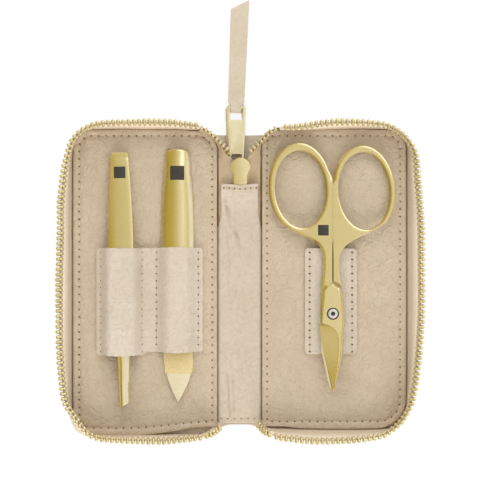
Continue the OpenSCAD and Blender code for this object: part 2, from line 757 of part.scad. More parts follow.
function handle_half_w(d) =
    let (t = d / handle_l, full = mix(0.62, 1, pow(sin(90 * min(t / 0.42, 1)), 0.9)),
         end = sqrt(max(0, 1 - pow(max(0, 1.4 - d) / 1.4, 2))) * 0.35 + 0.65,
         tail = mix(1, 0.93, smooth((t - 0.5) / 0.5)))
    handle_w / 2 * full * end * tail;
function handle_crown(d) = handle_rise * mix(0.55, 1, smooth(d / 8)) * mix(1, 0.9, smooth((d - handle_l * 0.6) / (handle_l * 0.4)));
handle_foot = 0.5;

// Sheet steel pressed into a shallow round back
function handle_ring(d) =
    let (w = handle_half_w(d), c = handle_crown(d), cols = 12)
    concat(
        [for (j = [0:cols]) let (x = mix(w, -w, j / cols))
            [x, -d, handle_foot + (c - handle_foot) * (1 - pow(x / w, 2))]],
        [for (j = [0:cols]) let (wi = w - handle_t, x = mix(-wi, wi, j / cols))
            [x, -d, max(0, (c - handle_foot) * (1 - pow(x / wi, 2)) + handle_foot - handle_t)]]);

module in_file() {
    translate([-file_x, file_top_v, tool_z]) children();
}

file_badge_at = 8.8;
file_badge_depth = 0.45;

module file_handle() {
    color(gold_colour) in_file() difference() {
        loft([for (i = [0:handle_steps]) let (t = i / handle_steps) handle_ring(0.15 + (handle_l - 0.15) * pow(t, 1.3))]);
        translate([-file_badge_w / 2, -file_badge_at - file_badge_w / 2, handle_crown(file_badge_at) - file_badge_depth])
            cube([file_badge_w, file_badge_w, 2]);
    }
}

module file_badge() {
    g = fit_gap / 2;
    color(dark_colour) in_file()
        translate([g - file_badge_w / 2, g - file_badge_at - file_badge_w / 2, handle_crown(file_badge_at) - file_badge_depth])
            cube([file_badge_w - 2 * g, file_badge_w - 2 * g, file_badge_depth + 0.05]);
}

file_l = handle_l + blade_show;
blade_root = handle_l * 0.75;
tongue_w = 4.8;
blade_z = 0.2;

// The blade narrows inside the handle, runs straight and ends in a curved point
module blade_plan(d0, d1) {
    point_from = file_l - point_l;
    w = blade_w / 2;
    root_w = tongue_w / 2;
    intersection() {
        polygon(concat(
            [[-root_w, -blade_root], [root_w, -blade_root], [root_w, -handle_l - 0.1], [w, -handle_l - 1.6]],
            [for (i = [0:8]) let (t = i / 8)
                [w * (1 - pow(t, 1.7) * 0.98), mix(-point_from + 4, -file_l, t)]],
            [for (i = [8:-1:0]) let (t = i / 8)
                [-w * (1 - pow(t, 1.7) * 0.98), mix(-point_from + 4, -file_l, t)]],
            [[-w, -handle_l - 1.6], [-root_w, -handle_l - 0.1]]));
        translate([-blade_w, -d1]) square([2 * blade_w, d1 - d0]);
    }
}

module file_blade() {
    color(gold_colour) in_file() translate([0, 0, blade_z]) linear_extrude(blade_t)
        blade_plan(blade_root, file_l);
}

module file_grit(z) {
    color(gold_colour) in_file() translate([0, 0, z]) linear_extrude(grit_t)
        blade_plan(handle_l + 1.7, file_l - point_l);
}

// ---------- scissors ----------

// middle of the ring on each side of the split, and the turn of both
front_ring = [-11.7, 44.4];
back_ring = [11, 43.8];
ring_turn = 4;
split = 0.06;
// the shanks lie on the band's upper edge, and the far ends of the rings on the panel
band_top = panel_top + band_rise + pocket_t;
band_edge_v = pocket_v0 + pocket_h + pivot_drop;
ring_end_v = front_ring[1] + ring_b + ring_rim;
scissor_tilt = atan((band_top - panel_top) / (ring_end_v - band_edge_v));
pivot_z = panel_top + lay_gap + shank_t / 2 + ring_end_v * tan(scissor_tilt) + 0.05;

// Draws in the scissors' own frame: the pivot at the origin, blades along -Y, z = 0 between the halves
module in_scissors() {
    translate([pivot_x, -pivot_drop, pivot_z]) rotate([-scissor_tilt, 0, 0]) children();
}

function ellipse(a, b, steps = 48) = [for (i = [0:steps - 1]) [a * cos(360 * i / steps), b * sin(360 * i / steps)]];

// Free edge of each half's shank, from its ring down to the blade
front_shank = [[-1.4, 49.3], [-6, 40], [-19, 33], [-14, 29.2], [-8.5, 26.8], [-5.2, 24.8], [-3.8, 22.4],
    [-3.4, 19.5], [-3.5, 15.8], [-3.9, 11.3], [-4.3, 9.2]];
back_shank = [[1.3, 50.3], [6, 40], [18.6, 33.4], [13.3, 29.1], [7.7, 27.1], [5.1, 25.7], [3.2, 24.1],
    [2.3, 22.4], [2, 20], [2.1, 15], [2.7, 10.2], [2.9, 9.2]];

// Ring and shank of one half, which ends at the split between the two
module handle_plan(ring, shank) {
    side = sign(ring[0]);
    difference() {
        union() {
            translate(ring + [0, (ring_rim - ring_side) / 2]) rotate(ring_turn)
                polygon(ellipse(ring_a + ring_side, ring_b + (ring_rim + ring_side) / 2));
            polygon(concat([[side * split, shank[len(shank) - 1][1]], [side * split, ring[1] + 3.4]], shank));
        }
        translate(ring) rotate(ring_turn) polygon(ellipse(ring_a, ring_b));
        // what lies past the split is taken away
        translate([side > 0 ? split - cover_h : -split, -1]) square(cover_h);
    }
}

// Blades seen from above, each with its point at the far end
module front_blade() {
    l = blade_l;
    polygon([[-split, 11.4], [-4.3, 9.2], [-4.4, 3], [-4.5, -1.4], [-4.6, -4.6],
        [-4.4, -l * 0.3], [-3.3, -l * 0.475], [-2.5, -l * 0.585], [-1.9, -l * 0.68], [-1.2, -l * 0.79],
        [-0.55, -l * 0.89], [-0.1, -l], [1, -l * 0.89], [2, -l * 0.75], [3.1, -l * 0.58], [3.5, -l * 0.43],
        [3.9, -l * 0.22], [4, -1.4], [3.9, 1.8], [3.7, 4.7], [3.3, 7.6], [2.9, 9.2]]);
}

module back_blade() {
    l = blade_l;
    polygon([[split, 11.4], [-4, 9.2], [-4.1, -1.4], [-4.4, -l * 0.35], [-4.2, -l * 0.465],
        [-3.45, -l * 0.585], [-2.3, -l * 0.79], [-1.3, -l * 0.905], [-0.3, -l * 0.995], [0.1, -l * 0.995],
        [1, -l * 0.82], [2, -l * 0.64], [3, -l * 0.43], [3.6, -l * 0.2], [3.7, 3], [3.3, 7.6], [2.9, 9.2]]);
}

// The other half's shank stays clear of this one over the whole opening
opening_clear_r = 12.2;

module half_body(ring, shank) {
    linear_extrude(shank_t, center = true) difference() {
        handle_plan(ring, shank);
        circle(opening_clear_r);
    }
}

screw_head_h = 0.55;

module scissors_front_half() {
    color(gold_colour) in_scissors() difference() {
        union() {
            half_body(front_ring, front_shank);
            translate([0, 0, fit_gap / 2]) linear_extrude(scissor_t) {
                front_blade();
                intersection() {
                    handle_plan(front_ring, front_shank);
                    circle(opening_clear_r + 0.5);
                }
            }
        }
        translate([0, 0, -1]) cylinder(h = scissor_t + 3, r = screw_r + fit_gap);
        translate([0, 0, fit_gap / 2 + scissor_t - screw_head_h]) cylinder(h = 3, r = screw_head_r + fit_gap);
        scissor_badge_block(0);
    }
}

module scissors_back_half() {
    color(gold_colour) in_scissors() difference() {
        union() {
            half_body(back_ring, back_shank);
            translate([0, 0, -scissor_t - fit_gap / 2]) linear_extrude(scissor_t) {
                back_blade();
                intersection() {
                    handle_plan(back_ring, back_shank);
                    circle(opening_clear_r + 0.5);
                }
            }
        }
        translate([0, 0, -scissor_t - 1]) cylinder(h = scissor_t + 3, r = screw_r);
    }
}

module scissors_screw() {
    color(steel_colour) in_scissors() difference() {
        union() {
            translate([0, 0, -scissor_t - fit_gap / 2]) cylinder(h = 2 * scissor_t, r = screw_r);
            translate([0, 0, fit_gap + scissor_t - screw_head_h]) cylinder(h = screw_head_h + 0.15, r = screw_head_r);
        }
        translate([0, 0, scissor_t - screw_head_h]) cylinder(h = 2, r = socket_w / sqrt(3), $fn = 6);
    }
}

scissor_badge_u = -3.4;
scissor_badge_v = 29.8;
module scissor_badge_block(g) {
    translate([scissor_badge_u + g - scissor_badge_w / 2, scissor_badge_v + g - scissor_badge_w / 2, shank_t / 2 - badge_t])
        cube([scissor_badge_w - 2 * g, scissor_badge_w - 2 * g, g > 0 ? badge_t + 0.1 : 1]);
}

module scissors_badge() {
    color(dark_colour) in_scissors() scissor_badge_block(fit_gap / 2);
}

// ---------- nodes ----------

spine_leather();
left() fold_leather();  // left_fold_leather
fold_leather();  // right_fold_leather
spine_lining();
left() cover_leather(0);  // left_cover
cover_leather(right_short);  // right_cover
left() cover_board(0);  // left_board
cover_board(right_short);  // right_board
left() lining_panel(left_cut_r, 0);  // left_panel
lining_panel(right_cut_r, right_short);  // right_panel
left() wall(0);  // left_wall
wall(right_short);  // right_wall
left() rim_tape();  // left_tape
rim_tape();  // right_tape
left() rim_teeth(0);  // left_teeth
rim_teeth(0.5);  // right_teeth
left() row_stop(0);  // left_row_stop
row_stop(0.5);  // right_row_stop
left() throat_tape();  // left_throat_tape
throat_tape();  // right_throat_tape
left() throat_teeth(0);  // left_throat_teeth
throat_teeth(0.5);  // right_throat_teeth
chain_teeth();
chain_stop();
zip_slider();
zip_puller();
pull_strap();
tool_pocket();
scissors_band();
tweezers_lower_arm();
tweezers_upper_arm();
tweezers_badge();
file_handle();
file_blade();
file_grit(blade_z + blade_t);  // file_grit_top
file_grit(blade_z - grit_t);  // file_grit_back
file_badge();
scissors_back_half();
scissors_front_half();
scissors_screw();
scissors_badge();
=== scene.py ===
import math
import random

import bpy
from mathutils import Matrix, Vector, noise


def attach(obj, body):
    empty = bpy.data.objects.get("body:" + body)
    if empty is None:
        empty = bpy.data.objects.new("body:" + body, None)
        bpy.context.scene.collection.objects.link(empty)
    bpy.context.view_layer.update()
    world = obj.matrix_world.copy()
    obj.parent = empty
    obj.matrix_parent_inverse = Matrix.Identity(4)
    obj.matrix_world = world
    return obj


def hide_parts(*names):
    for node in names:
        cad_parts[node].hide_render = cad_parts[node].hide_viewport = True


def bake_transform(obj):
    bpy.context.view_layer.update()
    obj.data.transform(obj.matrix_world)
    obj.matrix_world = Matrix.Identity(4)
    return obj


# Leather manicure case, lying open. Lengths are in millimetres in the CAD model's frame:
# X across the case, Y along the spine, Z up. They become metres where a mesh is made.
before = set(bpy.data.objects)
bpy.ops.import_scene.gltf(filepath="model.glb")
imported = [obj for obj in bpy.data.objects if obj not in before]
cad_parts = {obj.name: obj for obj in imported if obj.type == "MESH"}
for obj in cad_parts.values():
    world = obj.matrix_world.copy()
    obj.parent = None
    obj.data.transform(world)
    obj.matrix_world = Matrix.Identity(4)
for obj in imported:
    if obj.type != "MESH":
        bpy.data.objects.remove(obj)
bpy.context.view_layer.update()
mm = 0.001
random.seed(11)
halves = ((-1, "left"), (1, "right"))


# small tools for shapes
def mix(a, b, t):
    return a + (b - a) * t


def smooth(t):
    t = min(max(t, 0), 1)
    return t * t * (3 - 2 * t)


def ease(t):
    return 0.5 + 0.5 * math.cos(math.pi * min(max(t, -1), 1))


def bezier(a, b, c, d, t):
    return a * (1 - t) ** 3 + b * 3 * t * (1 - t) ** 2 + c * 3 * t * t * (1 - t) + d * t ** 3


def between(table, at):
    # straight-line value from a list of (place, value) pairs in rising order
    if at <= table[0][0]:
        return table[0][1]
    for (a, low), (b, high) in zip(table, table[1:]):
        if at <= b:
            return mix(low, high, (at - a) / (b - a))
    return table[-1][1]


def ripple(x, y, size, seed=0.0):
    # soft random value from about -1 to 1, with features of the given size
    return noise.noise(Vector((x / size, y / size, seed)))


def dropAll():
    bpy.ops.object.select_all(action="DESELECT")


def pick(piece):
    dropAll()
    piece.select_set(True)
    bpy.context.view_layer.objects.active = piece


def named(name):
    # gives the newest piece and its mesh their name
    piece = bpy.context.object
    piece.name = piece.data.name = name
    return piece


def gridPiece(name, columns, rows, place):
    # a flat grid whose every point is moved to place(across, along)
    dropAll()
    bpy.ops.mesh.primitive_grid_add(x_subdivisions=columns, y_subdivisions=rows, size=1)
    piece = named(name)
    for vertex in piece.data.vertices:
        across = min(max(vertex.co.x + 0.5, 0), 1)
        along = min(max(vertex.co.y + 0.5, 0), 1)
        vertex.co = Vector(place(across, along)) * mm
    return piece


def closeUp(piece, gap=0.004):
    # joins the seam, closes open ends and turns all faces outwards
    pick(piece)
    bpy.ops.object.mode_set(mode="EDIT")
    bpy.ops.mesh.select_all(action="SELECT")
    bpy.ops.mesh.remove_doubles(threshold=gap * mm)
    bpy.ops.mesh.select_all(action="SELECT")
    bpy.ops.mesh.fill_holes(sides=0)
    bpy.ops.mesh.select_all(action="SELECT")
    bpy.ops.mesh.normals_make_consistent(inside=False)
    bpy.ops.object.mode_set(mode="OBJECT")
    return piece


def shape(piece, kind, **settings):
    pick(piece)
    modifier = piece.modifiers.new(kind, kind)
    for name, value in settings.items():
        setattr(modifier, name, value)
    bpy.ops.object.modifier_apply(modifier=modifier.name)
    return piece


def thicken(piece, thickness, offset, rounding=0, segments=2):
    # a sheet gets its thickness, then softened edges
    shape(piece, "SOLIDIFY", thickness=thickness * mm, offset=offset)
    if rounding:
        shape(piece, "BEVEL", width=rounding * mm, segments=segments, limit_method="ANGLE", angle_limit=1.0)
    return piece


def plate(name, outlines, low, high, rounding, steps=3):
    # a flat outline, with holes if there are more, given a thickness and rounded edges
    curve = bpy.data.curves.new(name, "CURVE")
    curve.dimensions = "2D"
    curve.fill_mode = "BOTH"
    curve.extrude = ((high - low) / 2 - rounding) * mm
    curve.bevel_depth = rounding * mm
    curve.offset = -rounding * mm
    curve.bevel_resolution = steps
    for points in outlines:
        line = curve.splines.new("POLY")
        line.points.add(len(points) - 1)
        for dot, (x, y) in zip(line.points, points):
            dot.co = (x * mm, y * mm, 0, 1)
        line.use_cyclic_u = True
    piece = bpy.data.objects.new(name, curve)
    bpy.context.scene.collection.objects.link(piece)
    pick(piece)
    bpy.ops.object.convert(target="MESH")
    piece = named(name)
    piece.data.transform(Matrix.Translation((0, 0, (low + high) / 2 * mm)))
    return closeUp(piece, 0.001)


def block(name, low, high, rounding, segments=3):
    dropAll()
    bpy.ops.mesh.primitive_cube_add(size=1)
    piece = named(name)
    size = Vector(high) - Vector(low)
    middle = (Vector(high) + Vector(low)) / 2
    piece.data.transform(Matrix.Translation(middle * mm) @ Matrix.Diagonal((*(size * mm), 1)))
    if rounding:
        shape(piece, "BEVEL", width=rounding * mm, segments=segments)
    return piece


def rod(name, start, end, radius, sides=20):
    dropAll()
    start, end = Vector(start), Vector(end)
    bpy.ops.mesh.primitive_cylinder_add(vertices=sides, radius=radius * mm, depth=(end - start).length * mm)
    piece = named(name)
    turn = (end - start).to_track_quat("Z", "Y").to_matrix().to_4x4()
    piece.data.transform(Matrix.Translation((start + end) / 2 * mm) @ turn)
    return piece


def joined(name, pieces):
    dropAll()
    for piece in pieces:
        piece.select_set(True)
    bpy.context.view_layer.objects.active = pieces[0]
    if len(pieces) > 1:
        bpy.ops.object.join()
    pieces[0].name = pieces[0].data.name = name
    return pieces[0]


def repeated(name, source, places):
    # one copy of the source, with its own mesh, for each matrix
    copies = []
    for matrix in places:
        copy = source.copy()
        copy.data = source.data.copy()
        bpy.context.scene.collection.objects.link(copy)
        copy.data.transform(matrix)
        copies.append(copy)
    bpy.data.objects.remove(source)
    return joined(name, copies)


def toSide(side, point):
    # a point of the right half, mirrored if it is for the left one
    return Vector((side * point.x, point.y, point.z))


def spot(settings, axis="X", angle=0.0):
    # where a piece drawn round its own origin stands, and how it is turned
    place = Matrix.Translation(Vector((settings["x"], settings["y"], settings["z"])) * mm)
    return place @ Matrix.Rotation(math.radians(angle), 4, axis)


def rowMatrix(place, alongRow, up):
    # stands a piece drawn along +Z at a place, with +X along its row
    up = up.normalized()
    x = (alongRow - up * alongRow.dot(up)).normalized()
    y = up.cross(x)
    matrix = Matrix((x, y, up)).transposed().to_4x4()
    matrix.translation = place * mm
    return matrix


def sideMatrix(side, place, alongRow, up):
    return rowMatrix(toSide(side, place), toSide(side, alongRow) * side, toSide(side, up))


def runningLength(points):
    run = [0.0]
    for a, b in zip(points, points[1:]):
        run.append(run[-1] + (b - a).length)
    return run


def onLine(points, run, at):
    # the place at a length along a line of points
    at = min(max(at, 0), run[-1])
    for i in range(len(run) - 1):
        if at <= run[i + 1] or i == len(run) - 2:
            step = run[i + 1] - run[i]
            return points[i].lerp(points[i + 1], (at - run[i]) / step if step else 0)


def dress(piece, material, ridesOn, replaced=(), angle=35, bend=None):
    if material:
        piece.data.materials.clear()
        piece.data.materials.append(material)
    pick(piece)
    bpy.ops.object.shade_smooth_by_angle(angle=math.radians(angle))
    if replaced:
        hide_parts(*replaced)
    if bend:
        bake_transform(piece)
    else:
        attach(piece, ridesOn)
    return piece


# materials
def paint(red, green, blue):
    # a colour given as it looks on a screen, 0 to 255
    return tuple((c / 255 / 12.92 if c / 255 < 0.04045 else ((c / 255 + 0.055) / 1.055) ** 2.4)
                 for c in (red, green, blue)) + (1.0,)


class Mixer:
    # a new material, with short ways to add and join its nodes
    def __init__(self, name, colour, roughness, metallic=0.0):
        self.material = bpy.data.materials.new(name)
        self.material.use_nodes = True
        self.tree = self.material.node_tree
        self.shader = self.tree.nodes["Principled BSDF"]
        self.shader.inputs["Base Color"].default_value = colour
        self.shader.inputs["Roughness"].default_value = roughness
        self.shader.inputs["Metallic"].default_value = metallic
        self.place = self.tree.nodes.new("ShaderNodeTexCoord").outputs["Object"]

    def add(self, kind, **values):
        node = self.tree.nodes.new(kind)
        for name, value in values.items():
            if name in node.inputs:
                node.inputs[name].default_value = value
            else:
                setattr(node, name, value)
        return node

    def join(self, source, target):
        self.tree.links.new(source, self.shader.inputs[target] if isinstance(target, str) else target)

    def stretched(self, scale, turn=(0, 0, 0)):
        node = self.add("ShaderNodeMapping")
        node.inputs["Scale"].default_value = scale
        node.inputs["Rotation"].default_value = turn
        self.join(self.place, node.inputs["Vector"])
        return node.outputs["Vector"]

    def clouds(self, size, detail=3.0, source=None, rough=0.55):
        node = self.add("ShaderNodeTexNoise", Scale=1000 / size, Detail=detail, Roughness=rough)
        self.join(source or self.place, node.inputs["Vector"])
        return node.outputs["Fac"]

    def cells(self, size, feature="F1"):
        node = self.add("ShaderNodeTexVoronoi", feature=feature, Scale=1000 / size)
        self.join(self.place, node.inputs["Vector"])
        return node.outputs["Distance"]

    def ranged(self, value, low, high, fromLow=0.25, fromHigh=0.75):
        node = self.add("ShaderNodeMapRange")
        node.inputs["From Min"].default_value = fromLow
        node.inputs["From Max"].default_value = fromHigh
        node.inputs["To Min"].default_value = low
        node.inputs["To Max"].default_value = high
        self.join(value, node.inputs["Value"])
        return node.outputs["Result"]

    def maths(self, operation, a, b):
        node = self.add("ShaderNodeMath", operation=operation)
        for socket, value in zip(node.inputs, (a, b)):
            if isinstance(value, (int, float)):
                socket.default_value = value
            else:
                self.join(value, socket)
        return node.outputs["Value"]

    def blended(self, share, a, b):
        # mixes two colours, each a fixed one or another node's
        node = self.add("ShaderNodeMix", data_type="RGBA")
        self.join(share, node.inputs["Factor"])
        for socket, value in zip((node.inputs[6], node.inputs[7]), (a, b)):
            if isinstance(value, tuple):
                socket.default_value = value
            else:
                self.join(value, socket)
        return node.outputs[2]

    def bump(self, height, strength, distance, under=None):
        node = self.add("ShaderNodeBump", Strength=strength, Distance=distance * mm)
        self.join(height, node.inputs["Height"])
        if under:
            self.join(under, node.inputs["Normal"])
        return node.outputs["Normal"]


def hideMaterial(name, look):
    # leather or suede: soft blotches, a grain of small cells and fine pores
    m = Mixer(name, look["colour"], look["roughness"])
    blotch = m.clouds(look["blotchSize"], 4.0)
    warp = m.clouds(look["grainSize"] * 2.5, 2.0)
    grain = m.cells(look["grainSize"], "SMOOTH_F1")
    valleys = m.maths("ADD", grain, m.maths("MULTIPLY", warp, 0.6))
    pores = m.clouds(look["poreSize"], 5.0, rough=0.7)
    base = m.blended(m.ranged(blotch, 0, 1, 0.3, 0.7), look["colour"], look["second"])
    deep = m.blended(m.ranged(valleys, 0, look["valleyShade"], 0.55, 1.05), base, look["deep"])
    if look["foot"]:
        # painted shade low down, where a wall tucks in behind the lining
        height = m.add("ShaderNodeSeparateXYZ")
        m.join(m.place, height.inputs[0])
        rise = m.ranged(height.outputs["Z"], 0, 1, 4.4 * mm, 7.6 * mm)
        deep = m.blended(rise, look["foot"], deep)
    m.join(deep, "Base Color")
    low, high = look["roughness"] - 0.07, look["roughness"] + 0.09
    m.join(m.ranged(pores, low, high), "Roughness")
    # fine creases run where a stretched noise crosses its middle value
    folds = m.add("ShaderNodeTexNoise", Scale=1000 / look["creaseSize"], Detail=4.0, Distortion=0.8)
    m.join(m.place, folds.inputs["Vector"])
    fromMiddle = m.maths("ABSOLUTE", m.maths("SUBTRACT", folds.outputs["Fac"], 0.5), 0)
    line = m.ranged(fromMiddle, 0, 1, 0, 0.09)
    first = m.bump(valleys, look["grainStrength"], -look["grainDepth"])
    second = m.bump(line, look["creaseStrength"], look["creaseDepth"], first)
    m.join(m.bump(pores, look["poreStrength"], look["poreDepth"], second), "Normal")
    if look["sheen"]:
        m.shader.inputs["Sheen Weight"].default_value = look["sheen"]
        m.shader.inputs["Sheen Roughness"].default_value = 0.6
    return m.material


def metalMaterial(name, look):
    # coated metal: fine lines along the piece, faint smudges
    m = Mixer(name, look["colour"], look["roughness"], look["metal"])
    lines = m.clouds(1.0, 3.0, m.stretched(look["brush"]))
    smudge = m.clouds(look["smudgeSize"], 3.0)
    m.join(m.blended(m.ranged(smudge, 0, 1), look["colour"], look["second"]), "Base Color")
    low, high = look["roughness"] - look["spread"], look["roughness"] + look["spread"]
    rough = m.maths("ADD", m.ranged(lines, low, high), m.ranged(smudge, -0.03, 0.03))
    m.join(rough, "Roughness")
    m.join(m.bump(lines, look["lineStrength"], look["lineDepth"]), "Normal")
    return m.material


outerLook = dict(colour=paint(205, 192, 173), second=paint(199, 184, 162), deep=paint(178, 157, 130),
                 roughness=0.52, blotchSize=14, grainSize=0.8, grainStrength=0.3, grainDepth=0.1,
                 poreSize=0.2, poreStrength=0.3, poreDepth=0.04, valleyShade=0.22, creaseSize=4,
                 creaseStrength=0.35, creaseDepth=0.18, sheen=0.0, foot=None)
liningLook = dict(outerLook, colour=paint(201, 187, 169), second=paint(195, 180, 160), grainSize=1.05,
                  roughness=0.5, grainStrength=0.6, valleyShade=0.3, creaseSize=5, creaseStrength=0.8)
pocketLook = dict(outerLook, colour=paint(209, 196, 180), second=paint(201, 187, 168), grainSize=0.7,
                  grainStrength=0.45, valleyShade=0.25, roughness=0.55, creaseSize=3.2,
                  creaseStrength=0.75)
panelLook = dict(outerLook, colour=paint(198, 181, 157), second=paint(190, 171, 146),
                 deep=paint(178, 156, 128), blotchSize=10, grainSize=0.75, grainStrength=0.55,
                 valleyShade=0.4, roughness=0.62, poreSize=0.35, poreStrength=0.6, poreDepth=0.06,
                 creaseSize=3.5, creaseStrength=0.85, sheen=0.05)
throatLook = dict(outerLook, colour=paint(190, 168, 138), second=paint(180, 157, 126))
# painted shadow along the throat tape's edges
paintedThroatShadeLook = dict(throatLook, colour=paint(124, 97, 64), second=paint(108, 83, 54), deep=paint(92, 70, 46))
# the wall's copy of the leather: painted paler than the cover as painted light, and darker at its foot as
# painted shade
paintedLightWallLook = dict(outerLook, colour=paint(242, 229, 208), second=paint(236, 221, 197),
                foot=paint(200, 182, 156), valleyShade=0.1, grainSize=0.7, grainStrength=0.15)
goldLook = dict(colour=paint(240, 229, 194), second=paint(236, 223, 184), metal=1.0, roughness=0.26,
                spread=0.04, brush=(9000, 300, 9000), smudgeSize=7, lineStrength=0.06, lineDepth=0.01)
# a paler, less metallic copy of the gold: painted reflection on bright faces, partly their polish and ground
# finish
paleLookPaintedReflection = dict(goldLook, colour=paint(227, 216, 192), second=paint(221, 208, 181), metal=0.55,
                lineStrength=0.02)
# a darker, more olive copy of the gold for the blade's hollow and its left-facing sides: partly the ground
# finish, partly painted shade
hollowLookPaintedShade = dict(goldLook, colour=paint(226, 214, 158), second=paint(218, 204, 146), roughness=0.34)
tipLook = dict(paleLookPaintedReflection, colour=paint(230, 219, 193), second=paint(226, 213, 182), metal=0.3)
zipLook = dict(goldLook, colour=paint(250, 244, 226), second=paint(244, 236, 214), metal=0.75,
               roughness=0.2, brush=(2500, 2500, 2500), smudgeSize=4)
# a darker, more olive copy of the zip metal for the teeth and the slider, painted shade standing in for the
# shade on and between the teeth
zipLookPaintedShade = dict(zipLook, colour=paint(236, 225, 188), second=paint(222, 208, 166))
steelLook = dict(goldLook, colour=paint(236, 232, 240), second=paint(216, 212, 222), metal=0.6,
                 roughness=0.2, brush=(3000, 3000, 3000), smudgeSize=2)

outerLeather, spineLeather, pocketLeather, panelSuede, paintedLightWallLeather, throatLeather, paintedThroatShade = [
    hideMaterial(name, look) for name, look in (
        ("outerLeather", outerLook), ("spineLiningLeather", liningLook), ("pocketLeather", pocketLook),
        ("panelSuede", panelLook), ("paintedLightWallLeather", paintedLightWallLook), ("throatLeather", throatLook),
        ("paintedThroatShade", paintedThroatShadeLook))]
satinGold, paleGoldPaintedReflection, hollowGoldPaintedShade, zipGold, tipGold, zipGoldPaintedShade, turnedSteel = [
    metalMaterial(name, look) for name, look in (
        ("satinGold", goldLook), ("paleGoldPaintedReflection", paleLookPaintedReflection), ("hollowGoldPaintedShade", hollowLookPaintedShade), ("zipGold", zipLook),
        ("tipGold", tipLook), ("zipGoldPaintedShade", zipLookPaintedShade), ("turnedSteel", steelLook))]


def gritMaterial():
    m = Mixer("fileGrit", paint(232, 214, 168), 0.5, 0.3)
    specks = m.cells(0.32)
    fine = m.clouds(0.12, 4.0)
    m.join(m.blended(m.ranged(specks, 0, 1, 0.1, 0.6), paint(240, 223, 178), paint(216, 195, 142)),
           "Base Color")
    m.join(m.ranged(fine, 0.4, 0.65), "Roughness")
    first = m.bump(specks, 0.7, -0.08)
    m.join(m.bump(fine, 0.4, 0.03, first), "Normal")
    return m.material


def enamelMaterial():
    m = Mixer("darkEnamel", paint(54, 50, 50), 0.32)
    m.join(m.ranged(m.clouds(0.8, 4.0), 0.26, 0.42), "Roughness")
    m.join(m.bump(m.clouds(0.35), 0.08, 0.02), "Normal")
    return m.material


def tapeMaterial():
    # two crossed sets of fine ribs make the weave
    m = Mixer("wovenTape", paint(223, 208, 180), 0.8)
    ribs = []
    for turn in (0.0, math.pi / 2):
        wave = m.add("ShaderNodeTexWave", Scale=450.0, Distortion=0.6)
        m.join(m.stretched((1, 1, 1), (0, 0, turn + 0.4)), wave.inputs["Vector"])
        ribs.append(wave.outputs["Fac"])
    weave = m.maths("MULTIPLY", ribs[0], ribs[1])
    m.join(m.blended(weave, paint(208, 190, 160), paint(230, 216, 190)), "Base Color")
    m.join(m.ranged(m.clouds(0.4), 0.72, 0.9), "Roughness")
    m.join(m.bump(weave, 0.5, 0.08), "Normal")
    return m.material


def plainMaterial(name, look):
    # two tones in soft clouds and a little unevenness
    first, second = (paint(*tone) for tone in look["tones"])
    m = Mixer(name, paint(*look["colour"]), look["roughness"])
    m.join(m.blended(m.ranged(m.clouds(look["size"], look["detail"]), 0, 1), first, second), "Base Color")
    m.join(m.bump(m.clouds(look["bumpSize"], look["detail"]), look["strength"], look["depth"]), "Normal")
    return m.material


# painted shade for the screw's socket and the gap round its head
recessShadeLook = dict(colour=(42, 36, 38), tones=((36, 31, 33), (56, 48, 46)), roughness=0.5, size=0.5,
                  bumpSize=0.2, strength=0.1, depth=0.02, detail=3.0)
threadLook = dict(colour=(205, 186, 156), tones=((190, 168, 136), (214, 197, 170)), roughness=0.7, size=0.18,
                  bumpSize=0.18, strength=0.5, depth=0.05, detail=3.0)
# painted shade in the needle holes
needleHoleShadeLook = dict(colour=(98, 78, 54), tones=((84, 66, 45), (120, 97, 70)), roughness=0.9, size=0.3,
                bumpSize=0.15, strength=0.4, depth=0.05, detail=3.0)
cardLook = dict(colour=(168, 150, 124), tones=((158, 140, 114), (178, 160, 134)), roughness=0.9, size=0.6,
                bumpSize=0.6, strength=0.3, depth=0.05, detail=4.0)

fileGrit = gritMaterial()
darkEnamel = enamelMaterial()
paintedRecessShade = plainMaterial("paintedRecessShade", recessShadeLook)
wovenTape = tapeMaterial()
sewingThread = plainMaterial("sewingThread", threadLook)
needleHoleShade = plainMaterial("needleHoleShade", needleHoleShadeLook)
boardCard = plainMaterial("boardCard", cardLook)
print("materials done")


# case: one leather shell with its wall for each cover
case = dict(coverU=60.6, coverHalfH=55.5, coverR=7, foldOuter=9.4, leather=1.2, wall=1.2,
            rimZ=10.25, rimR=14, rimCu=49.0, rimCv=41.5, rimBow=1.8, rimStart=14.4, rimEnd=8.7,
            tapeShow=1.2, toothReach=2.3, spineV=52.9, rightShort=2.4, curl=2.2, curlFrom=14.0,
            footRise=0.5, footRiseAt=-50, bulgeOut=0.22, bulgeIn=0.12, wobble=0.16)
straightSteps, cornerSteps, sideSteps = 24, 24, 56
# how the sewn rows are pulled out of line: place, shift and reach, for each side
pulls = {
    -1: ((61, -50, -2.0, 1.5, 7, 7), (45.5, -56.5, 0, -0.9, 8, 6), (65, -26, 0.8, 0, 8, 14),
         (47, 57, 0, 1.15, 8, 10), (21, 57, 0, 0.6, 7, 10), (63, 46, -1.1, 0, 8, 5), (65, 28, 0.7, 0, 8, 8)),
    1: ((58, -48, -2.1, 1.8, 11, 10), (46, -57, 0, -0.8, 9, 8), (66, 25, 1.2, 0, 12, 17),
        (66, -16, 0.8, 0, 12, 20), (46, 57, 0, 1.2, 9, 10), (22, 57, 0, -0.6, 9, 10))}


